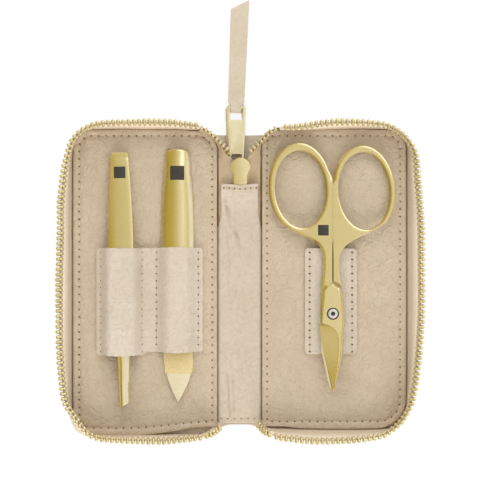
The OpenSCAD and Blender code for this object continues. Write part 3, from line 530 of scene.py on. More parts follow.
def outline(cu, high, low, radius, bow, start, end):
    points = []
    for i in range(straightSteps + 1):
        u = mix(start, cu, i / straightSteps)
        points.append((u, high + radius + bow * ease((2 * u - start - cu) / (cu - start))))
    for i in range(1, cornerSteps + 1):
        a = math.pi / 2 * (1 - i / cornerSteps)
        points.append((cu + radius * math.cos(a), high + radius * math.sin(a)))
    for i in range(1, sideSteps + 1):
        v = mix(high, low, i / sideSteps)
        points.append((cu + radius + bow * ease((2 * v - high - low) / (high - low)), v))
    for i in range(1, cornerSteps + 1):
        a = -math.pi / 2 * i / cornerSteps
        points.append((cu + radius * math.cos(a), low + radius * math.sin(a)))
    for i in range(1, straightSteps + 1):
        u = mix(cu, end, i / straightSteps)
        points.append((u, low - radius - bow * ease((2 * u - end - cu) / (cu - end))))
    return points


class ToothRow:
    # the teeth's line with its direction and its upright, step by step
    def at(self, length):
        return [onLine(values, self.run, length) for values in (self.top, self.along, self.up)]


class Rim(ToothRow):
    # the wall's foot and the line of the teeth, sampled step by step for one cover
    def __init__(self, side, short):
        c = case
        r = c["coverR"] - c["wall"] / 2
        high, low = c["coverHalfH"] - c["coverR"], short - c["coverHalfH"] + c["coverR"]
        foot = outline(c["coverU"] - c["coverR"], high, low, r, 0, c["rimStart"], c["rimEnd"])
        full = outline(c["coverU"] - c["coverR"], high, -high, r, 0, c["rimStart"], c["rimEnd"])
        top = outline(c["rimCu"], c["rimCv"], -c["rimCv"], c["rimR"], c["rimBow"], c["rimStart"],
                      c["rimEnd"])
        self.count = len(top)
        self.foot = [Vector((u, v, c["leather"])) for u, v in foot]
        self.top = [Vector((u, v, c["rimZ"])) for u, v in top]
        self.along, self.up, self.out = [], [], []
        for i in range(self.count):
            t = (self.top[min(i + 1, self.count - 1)] - self.top[max(i - 1, 0)]).normalized()
            raw = self.top[i] - Vector((*full[i], c["leather"]))
            up = (raw - t * raw.dot(t)).normalized()
            self.along.append(t)
            self.up.append(up)
            self.out.append(up.cross(t))
        # the lower end of each row turns in towards the spine, the lower side stands a little higher,
        # and the sewing pulls both out of line in places
        for i in range(self.count):
            if self.top[i].y < 0 and self.top[i].x < c["curlFrom"]:
                turn = c["curl"] * smooth((c["curlFrom"] - self.top[i].x) / (c["curlFrom"] - c["rimEnd"]))
                self.top[i] = self.top[i] + Vector((0, turn, 0))
            if self.top[i].y < c["footRiseAt"]:
                rise = c["footRise"] * smooth((c["footRiseAt"] - self.top[i].y) / 5)
                self.top[i] = self.top[i] + Vector((0, rise, 0))
            here = self.top[i]
            for u, v, du, dv, wide, high in pulls[side]:
                near = math.exp(-((here.x - u) / wide) ** 2 - ((here.y - v) / high) ** 2)
                self.top[i] = self.top[i] + Vector((du, dv, 0)) * near
        self.run = runningLength(self.top)

    def on(self, i, below, out):
        return self.top[i] - self.up[i] * below + self.out[i] * out

    def ground(self, i, out):
        t = self.along[i]
        flat = Vector((-t.y, t.x, 0)).normalized()
        return self.foot[i] + flat * out


rims = {-1: Rim(-1, 0), 1: Rim(1, case["rightShort"])}
wallTop = case["toothReach"] + case["tapeShow"]


def shellPiece(side):
    # one skin: under the cover, round its edge, up the wall, over its top and down inside
    rim = rims[side]
    short = case["rightShort"] if side > 0 else 0
    half = case["wall"] / 2
    vHigh, vLow = case["spineV"] - 0.2, short - case["coverHalfH"]

    def section(i):
        t = i / (rim.count - 1)
        hub = Vector((case["foldOuter"], mix(vHigh, vLow, t), 0))
        wobble = case["wobble"] * ripple(rim.top[i].x, rim.top[i].y, 11, side * 3.0)
        points = [hub]
        edge = rim.ground(i, half - 1.0)
        edge.z = 0
        points += [hub.lerp(edge, share) for share in (0.3, 0.6, 0.85, 1)]
        for out, z in ((half - 0.45, 0.04), (half - 0.12, 0.2), (half + 0.02, 0.55), (half + 0.05, 1.2)):
            lower = rim.ground(i, out)
            lower.z = z
            points.append(lower)
        footOut, topOut = rim.ground(i, half), rim.on(i, wallTop, half)
        for share in (0.25, 0.5, 0.75, 0.93):
            bulge = rim.out[i] * ((case["bulgeOut"] + wobble) * math.sin(math.pi * share))
            points.append(footOut.lerp(topOut, share) + bulge)
        for below, out in ((0.12, half - 0.05), (0, half - 0.22), (-0.08, 0.25), (-0.08, -0.25),
                           (0, 0.22 - half), (0.12, 0.05 - half)):
            points.append(rim.on(i, wallTop + below - 0.05, out))
        footIn, topIn = rim.ground(i, -half), rim.on(i, wallTop, -half)
        for share in (0.93, 0.75, 0.5, 0.25, 0):
            bulge = rim.out[i] * ((case["bulgeIn"] + wobble) * math.sin(math.pi * share))
            points.append(footIn.lerp(topIn, share) + bulge)
        floor = rim.ground(i, -half - 0.6)
        top = Vector((hub.x, hub.y, case["leather"]))
        points += [floor.lerp(top, share) for share in (0, 0.4, 0.75, 1)]
        points.append(hub)
        return points

    sections = [section(i) for i in range(rim.count)]
    last = len(sections[0]) - 1

    def place(across, along):
        i = round(along * (rim.count - 1))
        return toSide(side, sections[i][round(across * last)])

    name = "leftShell" if side < 0 else "rightShell"
    return closeUp(gridPiece(name, last, rim.count - 1, place))


for side, word in halves:
    covered = (word + "_cover", word + "_wall")
    shell = dress(shellPiece(side), outerLeather, word + "_half", covered, 50)
    # the wall's inside and its top take a smoother copy of the leather, painted paler as painted light on the
    # wall
    shell.data.materials.append(paintedLightWallLeather)
    for face in shell.data.polygons:
        x, y, z = face.center / mm
        inward = face.normal.x * x + face.normal.y * y < 0
        if z > 1.3 and (inward or z > 6):
            face.material_index = 1 if inward or abs(face.normal.z) > 0.75 else 0
print("shells done")


# spine leather and the two bands beside it where the case folds
spine = dict(halfW=6.4, outer=9.4, top=52.9, foot=-52.9, thick=1.2, headDip=0.25, footDip=1.7)


def leatherBand(name, x0, x1, columns):
    def place(across, along):
        x = mix(x0, x1, across)
        head = spine["top"] - spine["headDip"] * (1 - (x / spine["outer"]) ** 2)
        foot = spine["foot"] + spine["footDip"] * smooth(1.6 - abs(x) / 5.5)
        return x, mix(foot, head, along), 0
    return thicken(gridPiece(name, columns, 150, place), spine["thick"], 1)


dress(leatherBand("spineLeather", -spine["halfW"], spine["halfW"], 24), outerLeather,
      "spine", ("spine_leather",))
for side, word in halves:
    a, b = sorted((side * spine["halfW"], side * spine["outer"]))
    dress(leatherBand(word + "Fold", a, b, 10), outerLeather, None,
          (word + "_fold_leather",), bend=(side, spine["halfW"], spine["outer"]))

lining = dict(foot=-50.6, head=35.3, halfW=7.7, headHalfW=6.75, neck=19.8, ramp=11, lift=2.36, thick=1.15,
              headThick=0.7, sheet=0.62, headSeam=1.5, footSeam=1.6, bow=0.55, roll=0.7, rollDrop=0.35,
              groove=0.16, ticks=(
                  # soft creases: start, end, depth and width
                  ((-5.6, 31), (-3.2, 20), 0.42, 0.5), ((-4.4, 27), (-1.2, 16), 0.4, 0.5),
                  ((-2.6, 24), (0.2, 12), 0.28, 0.45), ((-5.4, 20), (-3.8, 6), 0.25, 0.55),
                  ((-1.5, 18), (1.2, 7), 0.22, 0.5), ((0.6, 14), (3, 4), 0.16, 0.6),
                  ((-4.6, 2), (-3.4, -14), 0.16, 0.7), ((3.4, 20), (4.6, 6), 0.12, 0.8),
                  ((-4.6, -33), (-3.6, -47.5), 0.45, 0.45), ((-2.9, -34), (-2.2, -46), 0.3, 0.45),
                  ((-0.6, -24), (0.8, -36), 0.16, 0.7), ((2.6, -22), (4.2, -33), 0.12, 0.8)))


def creaseDepth(x, y, ticks):
    depth = 0
    for (x0, y0), (x1, y1), deep, wide in ticks:
        run = Vector((x1 - x0, y1 - y0))
        off = Vector((x - x0, y - y0))
        t = off.dot(run) / run.length_squared
        if -0.15 < t < 1.15:
            side = (off - run * t).length + 0.25 * abs(ripple(x, y, 2.2, 5))
            ends = smooth((t + 0.15) * 4) * smooth((1.15 - t) * 4)
            depth += 1.4 * deep * math.exp(-(side / wide) ** 2) * ends
    return depth


def liningHeight(y):
    # it climbs at its head to cover the slider's foot
    t = smooth((y - lining["head"] + lining["ramp"]) / lining["ramp"])
    return spine["thick"] + lining["lift"] * t + mix(lining["thick"], lining["headThick"], t)


def spineLiningPiece():
    def place(across, along):
        y = mix(lining["foot"], lining["head"], along)
        wide = mix(lining["halfW"], lining["headHalfW"], smooth((y - lining["neck"]) / 5))
        # the head's edge bows down round the slider, and the sides roll down
        x = mix(-wide, wide, across)
        y -= lining["bow"] * math.exp(-((x - 0.3) / 3) ** 2) * smooth(along * 12 - 11)
        edge = max(0, abs(x) - wide + lining["roll"]) / lining["roll"]
        z = liningHeight(y) - lining["rollDrop"] * edge ** 2 - creaseDepth(x, y, lining["ticks"])
        z += 0.09 * ripple(x, y, 6) + 0.05 * ripple(x, y, 2.4, 3) * (1 - edge)
        for stitchY in (lining["head"] - lining["headSeam"], lining["foot"] + lining["footSeam"]):
            z -= lining["groove"] * math.exp(-((y - stitchY) / 0.5) ** 2)
        return x, y, z
    return thicken(gridPiece("spineLining", 64, 360, place), lining["sheet"], -1, 0.14)


dress(spineLiningPiece(), spineLeather, "spine", ("spine_lining",), 60)
print("spine done")


# stitches: a short thread with a dark spot of painted shade for the needle hole at each end
stitch = dict(threadR=0.2, holeAlong=0.24, holeAcross=0.4, holeDeep=0.07, gap=0.62, flat=0.7, near=0.4,
              jitter=0.06, twist=0.2, lift=0.02)


def ballPiece(rings, size):
    dropAll()
    bpy.ops.mesh.primitive_uv_sphere_add(segments=8, ring_count=rings, radius=1)
    ball = bpy.context.object
    ball.data.transform(Matrix.Diagonal((*(part * mm for part in size), 1)))
    return ball


def stitchRow(name, points, pitch, body, startAt=0.5, holeScale=1.0, slit=lambda place: 1):
    s, up = stitch, Vector((0, 0, 1))
    run = runningLength(points)
    count = int((run[-1] - startAt) / pitch)
    threads, holes = [], []
    for k in range(count + 1):
        at = startAt + k * pitch + random.uniform(-s["jitter"], s["jitter"])
        here, ahead = onLine(points, run, at), onLine(points, run, min(at + s["near"], run[-1]))
        back = onLine(points, run, max(at - s["near"], 0))
        hole = rowMatrix(here + up * s["lift"], ahead - back, up)
        turn = Matrix.Rotation(random.uniform(-s["twist"], s["twist"]), 4, "Z")
        holes.append(hole @ turn @ Matrix.Diagonal((1, slit(here), 1, 1)))
        if k < count:
            middle = onLine(points, run, at + pitch / 2)
            following = onLine(points, run, at + pitch) - here
            threads.append(rowMatrix(middle + up * s["lift"], following, up))
    thread = ballPiece(6, ((pitch - s["gap"]) / 2, s["threadR"], s["threadR"] * s["flat"]))
    hole = ballPiece(4, (s["holeAlong"] * holeScale, s["holeAcross"] * holeScale, s["holeDeep"]))
    dress(repeated(name + "Thread", thread, threads), sewingThread, body, angle=80)
    dress(repeated(name + "Holes", hole, holes), needleHoleShade, body, angle=80)


# padded lining panels
panel = dict(u0=8.1, u1=59.3, v1=54.2, r=6, cut={-1: 7.0, 1: 4.0}, low={-1: -54.1, 1: -51.7}, inner=0.7,
             lowR={-1: 6, 1: 9.5}, stitchIn=1.73, stitchZ=3.06, pitch=2.7, dimple=0.13, swellTop=0.26,
             swellFoot=-0.55, climb=2.3, steps=(14, 108, 230),
             # distance in from the edge and height of the surface
             profile=((0.3, 1.22), (0.06, 1.5), (-0.1, 1.95), (-0.3, 2.5), (-0.42, 2.95), (-0.38, 3.22),
                      (-0.05, 3.36), (0.5, 3.38), (1.25, 3.28), (1.5, 3.2), (1.73, 3.12), (1.96, 3.19),
                      (2.3, 3.3), (2.8, 3.4), (3.6, 3.46), (5, 3.48), (7, 3.46), (9.5, 3.44),
                      (12.5, 3.42), (16, 3.41), (20, 3.4), (23.5, 3.4), (25.5, 3.4)))


def panelRing(side, inset):
    # points round the panel at a distance in from its edge, starting at the inner top corner
    p = panel
    low = p["low"][side]
    corners = ((p["u0"], p["v1"], p["cut"][side], 1, -1, 180), (p["u1"], p["v1"], p["r"], -1, -1, 90),
               (p["u1"], low, p["lowR"][side], -1, 1, 0), (p["u0"], low, p["inner"], 1, 1, -90))
    corner, short, long = p["steps"]
    middles = []
    for u, v, r, du, dv, start in corners:
        keep = max(r - inset, 0.02)
        reach = max(r, inset + keep)
        middles.append((u + du * reach, v + dv * reach, keep, start))
    points = []
    for k, (cu, cv, r, start) in enumerate(middles):
        arc = [(cu + r * math.cos(math.radians(start - 90 * i / corner)),
                cv + r * math.sin(math.radians(start - 90 * i / corner))) for i in range(corner + 1)]
        points += arc
        nu, nv, nr, nstart = middles[(k + 1) % 4]
        ahead = (nu + nr * math.cos(math.radians(nstart)), nv + nr * math.sin(math.radians(nstart)))
        steps = short if k in (0, 2) else long
        points += [(mix(arc[-1][0], ahead[0], i / steps), mix(arc[-1][1], ahead[1], i / steps))
                   for i in range(1, steps)]
    if side < 0:
        # the left lining's lower edge climbs towards the spine
        points = [(u, v + p["climb"] * smooth((40 - u) / 30) * smooth((-v - 40) / 12))
                  for u, v in points]
    return points


def panelPiece(side):
    rings = [panelRing(side, inset) for inset, z in panel["profile"]]
    upright = [panelRing(side, max(inset, 0.05)) for inset, z in panel["profile"]]
    count = len(rings[0])
    line = panelRing(side, panel["stitchIn"])
    run = runningLength([Vector((u, v, 0)) for u, v in line + line[:1]])

    def place(across, along):
        k = round(along * (len(rings) - 1))
        i = round(across * count) % count
        # the edge leans out with the wall, but stands upright along the spine
        u, v = Vector(upright[k][i]).lerp(Vector(rings[k][i]), smooth((rings[0][i][0] - 15) / 6))
        inset, z = panel["profile"][k]
        if inset < 0 and abs(v) > 40:
            # its ends swell out to the bowed wall
            swell = panel["swellTop"] if v > 0 else panel["swellFoot"]
            v += swell * max(0, 1 - ((u - 36) / 20) ** 2)
        # each stitch draws the lining down a little and puckers its edge
        wave = 0.5 + 0.5 * math.cos(2 * math.pi * (run[i] - 0.5) / panel["pitch"])
        z -= panel["dimple"] * wave * math.exp(-((inset - panel["stitchIn"]) / 0.55) ** 2)
        calm = smooth((inset - 0.3) / 2)
        z += calm * (0.07 * ripple(u, v, 9, side) + 0.03 * ripple(u, v, 3, side + 4.0))
        if inset < 1.5:
            push = 0.06 * ripple(u, v, 5, side + 9.0)
            u, v = u + push, v + push
        return side * u, v, z

    piece = gridPiece("leftPanel" if side < 0 else "rightPanel", count, len(rings) - 1, place)
    return closeUp(piece)


for side, word in halves:
    piece = dress(panelPiece(side), panelSuede, word + "_half", (word + "_panel",), 60)
    line = panelRing(side, panel["stitchIn"])
    loop = [Vector((side * u, v, panel["stitchZ"])) for u, v in line + line[:1]]
    # along the left edge the needle left long slits across the row, so the holes' painted shade is drawn out
    # across it
    stitchRow(word + "Panel", loop, panel["pitch"], word + "_half", holeScale=1.15,
              slit=lambda place: 1 + 1.4 * smooth((-place.x - 55) / 2))
print("panels done")


# zip: tape, teeth and the throat where the rows run down into the slider
zipper = dict(pitch=1.85, throatPitch=1.66, endPitch=1.75, toothH=2.45, toothSize=1.12, throatTooth=0.8,
              beadR=0.48, tapeHalf=0.25, mouthU=2.85, mouthV=44.66, mouthZ=5.152, slope=0.24933,
              sliderY=35.2, chainZ=2.793, bendFrom=5.5, bendTo=10.5)


def toothPiece():
    # seen from above a tooth is a large outer lobe and a smaller, lower inner one
    outer = ((0, 1.2), (0.48, 1.03), (0.7, 0.58), (0.56, 0.08), (0.38, -0.18), (0.5, -0.58), (0.32, -0.98))
    ring = list(outer) + [(0, -1.1)] + [(-x, y) for x, y in outer[:0:-1]]
    # height and size of each ring
    heights = ((0.25, 0.75), (0.5, 0.97), (1.35, 1.0), (1.95, 0.97), (2.27, 0.8), (2.43, 0.48))

    def place(across, along):
        height, size = heights[round(along * (len(heights) - 1))]
        x, y = ring[round(across * len(ring)) % len(ring)]
        x, y = x * size * zipper["toothSize"], y * size * zipper["toothSize"]
        if height > 1.4:
            height -= 0.32 * smooth((0.25 - y) / 0.5) + 0.28 * math.exp(-((y + 0.1) / 0.22) ** 2)
        return x, y, height
    return closeUp(gridPiece("tooth", len(ring), len(heights) - 1, place))


def rimTapePiece(side, word):
    # the band runs from inside the wall up to a corded bead under the teeth
    rim, half, bead = rims[side], zipper["tapeHalf"], zipper["beadR"]
    profile = [(wallTop + 1.6, -half), (wallTop, -half), (2.9, -half)]
    profile += [(2.35 - bead * math.sin(a), -bead * math.cos(a))
                for a in [math.radians(x) for x in (-50, -15, 20, 55, 90, 125, 160, 195, 230)]]
    profile += [(below, -out) for below, out in profile[2::-1]]
    profile.append(profile[0])

    def place(across, along):
        below, out = profile[round(across * (len(profile) - 1))]
        return toSide(side, rim.on(round(along * (rim.count - 1)), below, out))
    return closeUp(gridPiece(word + "Tape", len(profile) - 1, rim.count - 1, place))


def rimTeethPiece(side, word, shift):
    rim, pitch = rims[side], zipper["pitch"]
    count = int((rim.run[-1] - 2 * pitch) / pitch)
    places = []
    for k in range(count):
        top, along, up = rim.at((k + 0.6 + shift) * pitch)
        size = 1 + random.uniform(-0.03, 0.03)
        turn = Matrix.Rotation(random.uniform(0.06, 0.2), 4, "Z")
        stand = sideMatrix(side, top - up * zipper["toothH"], along, up)
        places.append(stand @ turn @ Matrix.Diagonal((size,) * 3 + (1,)))
    return repeated(word + "Teeth", toothPiece(), places), (count + 0.75 + shift) * pitch


def rowEndPieces(side, word, stopAt):
    # past the stop the tape turns down into the spine's corner, its last teeth crushed together
    rim, steps, sides = rims[side], 20, 12
    start, along, up = rim.at(stopAt - 0.4)
    finish = Vector((6.1, -51.9 + (0.9 if side > 0 else 0.3), 4.6))
    bends = start + along * 2.6, finish + Vector((1.6, -1.9, 1.4))
    line = [bezier(start, *bends, finish, i / steps) for i in range(steps + 1)]
    run = runningLength(line)
    last = Vector((-0.5, -0.4, 1)).normalized()
    ups = [up.lerp(last, i / steps).normalized() for i in range(steps + 1)]

    def place(across, along):
        i = round(along * steps)
        x = (line[min(i + 1, steps)] - line[max(i - 1, 0)]).normalized()
        out = ups[i].cross(x).normalized()
        angle = across * 2 * math.pi
        deep = mix(3.6, 2.2, i / steps)
        # a rounded square: how far it reaches past a circle at this angle
        square = 1 / (abs(math.cos(angle)) ** 4 + abs(math.sin(angle)) ** 4) ** 0.25
        below = case["toothReach"] + deep / 2 * (1 + math.cos(angle) * square)
        return toSide(side, line[i] - ups[i] * below + out * 0.3 * math.sin(angle) * square)
    tape = closeUp(gridPiece(word + "TapeEnd", sides, steps, place))
    places = []
    for k in range(int(run[-1] / zipper["endPitch"])):
        at = 0.9 + k * zipper["endPitch"]
        x = onLine(line, run, at + 0.3) - onLine(line, run, at - 0.3)
        lift = onLine(ups, run, at)
        places.append(sideMatrix(side, onLine(line, run, at) - lift * zipper["toothH"], x, lift))
    return tape, repeated(word + "EndTeeth", toothPiece(), places)


class Throat(ToothRow):
    # the row's line from the rim down to the slider's mouth, on the right-hand side
    def __init__(self):
        rim, steps = rims[1], 40
        start = rim.top[0] - rim.up[0] * case["toothReach"] - rim.along[0] * 0.3
        end = Vector((zipper["mouthU"], zipper["mouthV"], zipper["mouthZ"]))
        bendA = start - rim.along[0] * 3.5
        bendB = end + Vector((2.5, 3, 1.4))
        self.top = [bezier(start, bendA, bendB, end, i / steps) for i in range(steps + 1)]
        self.run = runningLength(self.top)
        self.along, self.up = [], []
        for i in range(steps + 1):
            t = (self.top[min(i + 1, steps)] - self.top[max(i - 1, 0)]).normalized()
            raw = rim.up[0].lerp(Vector((-1, 0, 0.2)), smooth(i / steps) ** 3)
            self.along.append(t)
            self.up.append((raw - t * raw.dot(t)).normalized())


throat = Throat()
# shares of the tape's length: along the panel's top, to the end of its corner, to the row's end
throatTape = dict(foot=20.0, topShare=0.18, cornerShare=0.5, rowShare=0.62, off=0.15, thick=0.5,
                  liningShadeReach=0.5, rowShadeReach=0.45, rowShadeEnd={-1: 0.58, 1: 0.53})


def throatTapePiece(side, word):
    # leather-edged tape that fills the space between the row and the panel's cut corner
    s, cut, reach = throatTape, panel["cut"][side], panel["cut"][side] + throatTape["off"]
    rows, columns = 70, 22
    topShare, cornerShare, rowShare = s["topShare"], s["cornerShare"], s["rowShare"]
    lowEdge = []
    for i in range(rows + 1):
        t = i / rows
        # its low side follows the panel's edge: along its top, round the cut corner, then down
        if t < topShare:
            u, v = mix(case["rimStart"], panel["u0"] + cut, t / topShare), panel["v1"] + s["off"]
        elif t < cornerShare:
            a = math.radians(90 + 90 * (t - topShare) / (cornerShare - topShare))
            u, v = panel["u0"] + cut + reach * math.cos(a), panel["v1"] - cut + reach * math.sin(a)
        else:
            down = (t - cornerShare) / (1 - cornerShare)
            u, v = panel["u0"] - s["off"], mix(panel["v1"] - cut, s["foot"], down)
        z = mix(4.2, 3.3, smooth(t / 0.35))
        z = mix(z, 3.0, smooth((t - 0.5) / 0.3))
        z = mix(z, 2.3, smooth((t - 0.75) / 0.25))
        lowEdge.append(Vector((u if v > 47 else min(u, 7.95), v, z)))

    def rowEdge(t):
        if t < rowShare:
            place, along, up = throat.at(t / rowShare * throat.run[-1])
            return place - up * 0.1
        down = (t - rowShare) / (1 - rowShare)
        v = mix(zipper["mouthV"], s["foot"], down)
        u = mix(mix(zipper["mouthU"], 1.9, smooth(down * 3)), 6.4, smooth((down - 0.45) / 0.3))
        return Vector((u, v, max(zipper["chainZ"] + (v - zipper["sliderY"]) * zipper["slope"], 1.75)))

    def place(across, along):
        t = along
        near, far = rowEdge(t), lowEdge[round(t * rows)]
        point = near.lerp(far, across)
        sag = math.sin(math.pi * across)
        point.z -= sag * (0.55 * smooth(t / 0.3) + 0.1) * (1 - 0.6 * smooth((t - 0.7) / 0.3))
        point.z += 0.3 * sag * ripple(point.x * 1.8, point.y * 0.4, 2.0, side * 2.0)
        return side * point.x, point.y, point.z
    piece = gridPiece(word + "ThroatTape", columns, rows, place)
    piece.data.materials.append(throatLeather)
    piece.data.materials.append(paintedThroatShade)
    for face in piece.data.polygons:
        # painted shadow where it dives under the lining and where the row is sewn on
        row = face.index // columns
        t = (row + 0.5) / rows
        middle = Vector((side * face.center.x, face.center.y)) / mm
        toLining = (middle - lowEdge[row].lerp(lowEdge[row + 1], 0.5).xy).length
        toRow = (middle - rowEdge(t).xy).length
        if toLining < s["liningShadeReach"] or (toRow < s["rowShadeReach"] and t < s["rowShadeEnd"][side]):
            face.material_index = 1
    return thicken(piece, s["thick"], 0)


def throatTeethPiece(side, word, shift):
    pitch, places = zipper["throatPitch"], []
    # the right row stops a little sooner, clear of the slider as it runs up
    last = throat.run[-1] - (0.4 if side < 0 else 2.2)
    for k in range(int(last / pitch + 0.65 - shift)):
        place, along, up = throat.at((k + 0.35 + shift) * pitch)
        matrix = sideMatrix(side, place - up * 0.15, along, up)
        places.append(matrix @ Matrix.Scale(zipper["throatTooth"], 4))
    return repeated(word + "ThroatTeeth", toothPiece(), places)


for side, word, shift in ((-1, "left", 0), (1, "right", 0.5)):
    half, bend = word + "_half", (side, zipper["bendFrom"], zipper["bendTo"])
    dress(rimTapePiece(side, word), wovenTape, half, (word + "_tape",), 50)
    teeth, stopAt = rimTeethPiece(side, word, shift)
    dress(teeth, zipGoldPaintedShade, half, (word + "_teeth",), 50)
    top, along, up = rims[side].at(stopAt)
    clamp = block(word + "RowStop", (-0.75, -0.95, 0.1), (0.75, 0.95, 1.5), 0.3)
    clamp.data.transform(sideMatrix(side, top - up * zipper["toothH"], along, up))
    dress(clamp, zipGold, half, (word + "_row_stop",))
    tapeEnd, endTeeth = rowEndPieces(side, word, stopAt)
    dress(tapeEnd, wovenTape, None, (), 50, bend)
    dress(endTeeth, zipGoldPaintedShade, None, (), 50, bend)
    dress(throatTapePiece(side, word), None, None, (word + "_throat_tape",), 60, bend)
    throatTeeth = throatTeethPiece(side, word, shift)
    dress(throatTeeth, zipGoldPaintedShade, None, (word + "_throat_teeth",), 50, bend)
print("zip rows done")


# slider, with the meshed end of the chain in it
slider = dict(x=0.3, y=35.2, z=2.79281, tilt=14.0, length=9.8, wide=7.2, neck=5.0, plateT=0.65, channel=1.6,
              crown=0.42, edge=0.35)
inSlider = spot(slider, "X", slider["tilt"])


def sliderHalfWidth(y):
    n, w, length = slider["neck"] / 2, slider["wide"] / 2, slider["length"]
    shoulder = mix(n, w, smooth((y - length * 0.3) / (length * 0.34)))
    r = slider["wide"] * 0.52
    off = y - (length - r)
    cap = math.sqrt(max(0, r * r - off * off)) if off > 0 else r
    return max(min(shoulder, cap), 0.03)


def sliderShell(name, up):
    # one plate with its folded flanges, as a closed skin round each cross-section
    high = slider["channel"] / 2 + slider["plateT"]
    flange, floor = 0.4, slider["channel"] / 2

    def section(y):
        w = sliderHalfWidth(y)
        channel = mix(2.0, w, smooth((y - 3.2) / 2.6))
        inner = min(channel, w - 0.02)
        edge = min(slider["edge"], w * 0.6)
        ends = 0.25 * smooth((y - 6.5) / 3) + 0.12 * smooth((0.8 - y) / 0.8)
        dome = lambda x: high - slider["crown"] * (x / 3.6) ** 2 - ends
        corner = [(w - edge * (1 - math.cos(a)), dome(w) - edge * (1 - math.sin(a)) * 0.9)
                  for a in (0, 0.5, 1.0, 1.57)]
        points = [(-w, flange)] + [(-x, z) for x, z in corner]
        points += [(x, dome(x)) for x in [mix(-w + edge, w - edge, i / 12) for i in range(1, 12)]]
        points += corner[::-1]
        points += [(w, flange), (inner, flange), (inner, floor), (-inner, floor), (-inner, flange),
                   (-w, flange)]
        return points

    count = len(section(1)) - 1

    def place(across, along):
        y = slider["length"] * (1 - (1 - along) ** 1.6)
        x, z = section(y)[round(across * count)]
        return x, y, z * up
    return closeUp(gridPiece(name, count, 60, place))


def sliderPiece():
    h = slider["channel"] / 2 + slider["plateT"]
    parts = [sliderShell("sliderTop", 1), sliderShell("sliderFoot", -1)]
    parts.append(block("sliderPost", (-0.8, 6.6, -0.9), (0.8, 8.9, 0.9), 0.3))
    # bridge that holds the puller, under the outer plate
    low, high = -h - 1.64, -h + 0.2
    for name, start, end, top in (("bridgeBar", 6.016, 9.02, low + 0.42), ("bridgeFoot", 6.016, 6.56, high),
                                  ("bridgeHead", 8.48, 9.02, high)):
        parts.append(block(name, (-0.4, start, low), (0.4, end, top), 0.12))
    piece = joined("zipSlider", parts)
    piece.data.transform(inSlider)
    return piece


def chainPieces():
    half = slider["neck"] / 2 - 0.55
    bars = []
    for k in range(9):
        x0 = -half / 2 if k % 2 == 0 else -half
        y0 = k * zipper["pitch"] / 2 - 2.9 + 1
        end = (x0 + half * 1.5, y0 + zipper["pitch"] / 2 - 0.12, 0.75)
        bars.append(block("chainBar", (x0, y0, -0.75), end, 0.16, 2))
    chain = joined("chainTeeth", bars)
    chain.data.transform(inSlider)
    stop = block("chainStop", (-half, -2.9, -0.75), (half, -2.05, 0.75), 0.2)
    stop.data.transform(inSlider)
    return chain, stop


dress(sliderPiece(), zipGoldPaintedShade, "slider", ("zip_slider",), 40)
chain, stop = chainPieces()
dress(chain, zipGold, "spine", ("chain_teeth",))
dress(stop, zipGold, "spine", ("chain_stop",))


# puller and its leather strap
puller = dict(x=-1.1, y=43.4379, z=2.71338, slope=1.65, length=19.8, wide=7.0, foot=5.2, thick=1.0, barR=0.42,
              window=5.0, eye=2.4, leg=0.7, topR=0.65)
inPuller = spot(puller, "X", -puller["slope"])


def roundedLoop(corners, radius):
    # a polygon with each corner rounded
    points, steps = [], 5
    for i, corner in enumerate(corners):
        here = Vector(corner)
        before = (Vector(corners[i - 1]) - here).normalized()
        after = (Vector(corners[(i + 1) % len(corners)]) - here).normalized()
        a, b = here + before * radius, here + after * radius
        for k in range(steps + 1):
            t = k / steps
            points.append(tuple(a * (1 - t) ** 2 + here * 2 * t * (1 - t) + b * t ** 2))
    return points


def pullerPiece():
    p = puller
    foot, head, length = p["foot"] / 2, p["wide"] / 2, p["length"]
    half = (p["wide"] - 2.6) / 2
    # the window is closed at the top by the bar alone
    outer = roundedLoop([(-foot, -0.42), (foot, -0.42), (head, length - 0.6), (head - 0.6, length + 0.5),
                         (half, length + 0.5), (half, length - p["window"]), (-half, length - p["window"]),
                         (-half, length + 0.5), (0.6 - head, length + 0.5), (-head, length - 0.6)], 0.28)
    eyeHalf, eyeTop, barY = foot - p["leg"], p["barR"] + p["eye"] - 0.42, length - p["barR"]
    eye = roundedLoop([(eyeHalf, p["barR"]), (-eyeHalf, p["barR"]), (-eyeHalf, eyeTop), (eyeHalf, eyeTop)],
                      0.75)
    parts = [plate("pullerPlate", [outer, eye[::-1]], -p["thick"] / 2, p["thick"] / 2, 0.24),
             rod("pullerTopBar", (-half - 0.2, barY, 0), (half + 0.2, barY, 0), p["topR"])]
    # sloped side walls: one along the left edge, one inside the window's right leg
    for y0, y1, x0, x1, wide in ((1.2, 19.6, -2.55, -3.35, 0.85),
                                 (length - p["window"] + 0.1, 19.0, 2.3, 2.3, 0.6)):
        def slope(across, along):
            a = across * 2 * math.pi
            y = mix(y0, y1, along)
            full = wide * smooth(along * 6) * smooth((1 - along) * 12 + 0.3)
            t = 0.5 - 0.5 * math.cos(a)
            return mix(x0, x1, along) - full * t, y, mix(0.4, -0.3, t) + 0.16 * math.sin(a)
        parts.append(closeUp(gridPiece("pullerSlope", 16, 24, slope)))
    piece = joined("zipPuller", parts)
    piece.data.transform(inPuller)
    return piece


strap = dict(length=37.5, wide=6.3, thick=0.78, lean=2.3, bias=3.35, offset=0.209, shift=-0.2, loopR=0.77,
             slack=0.6, loopW=3.95, join=3.2)


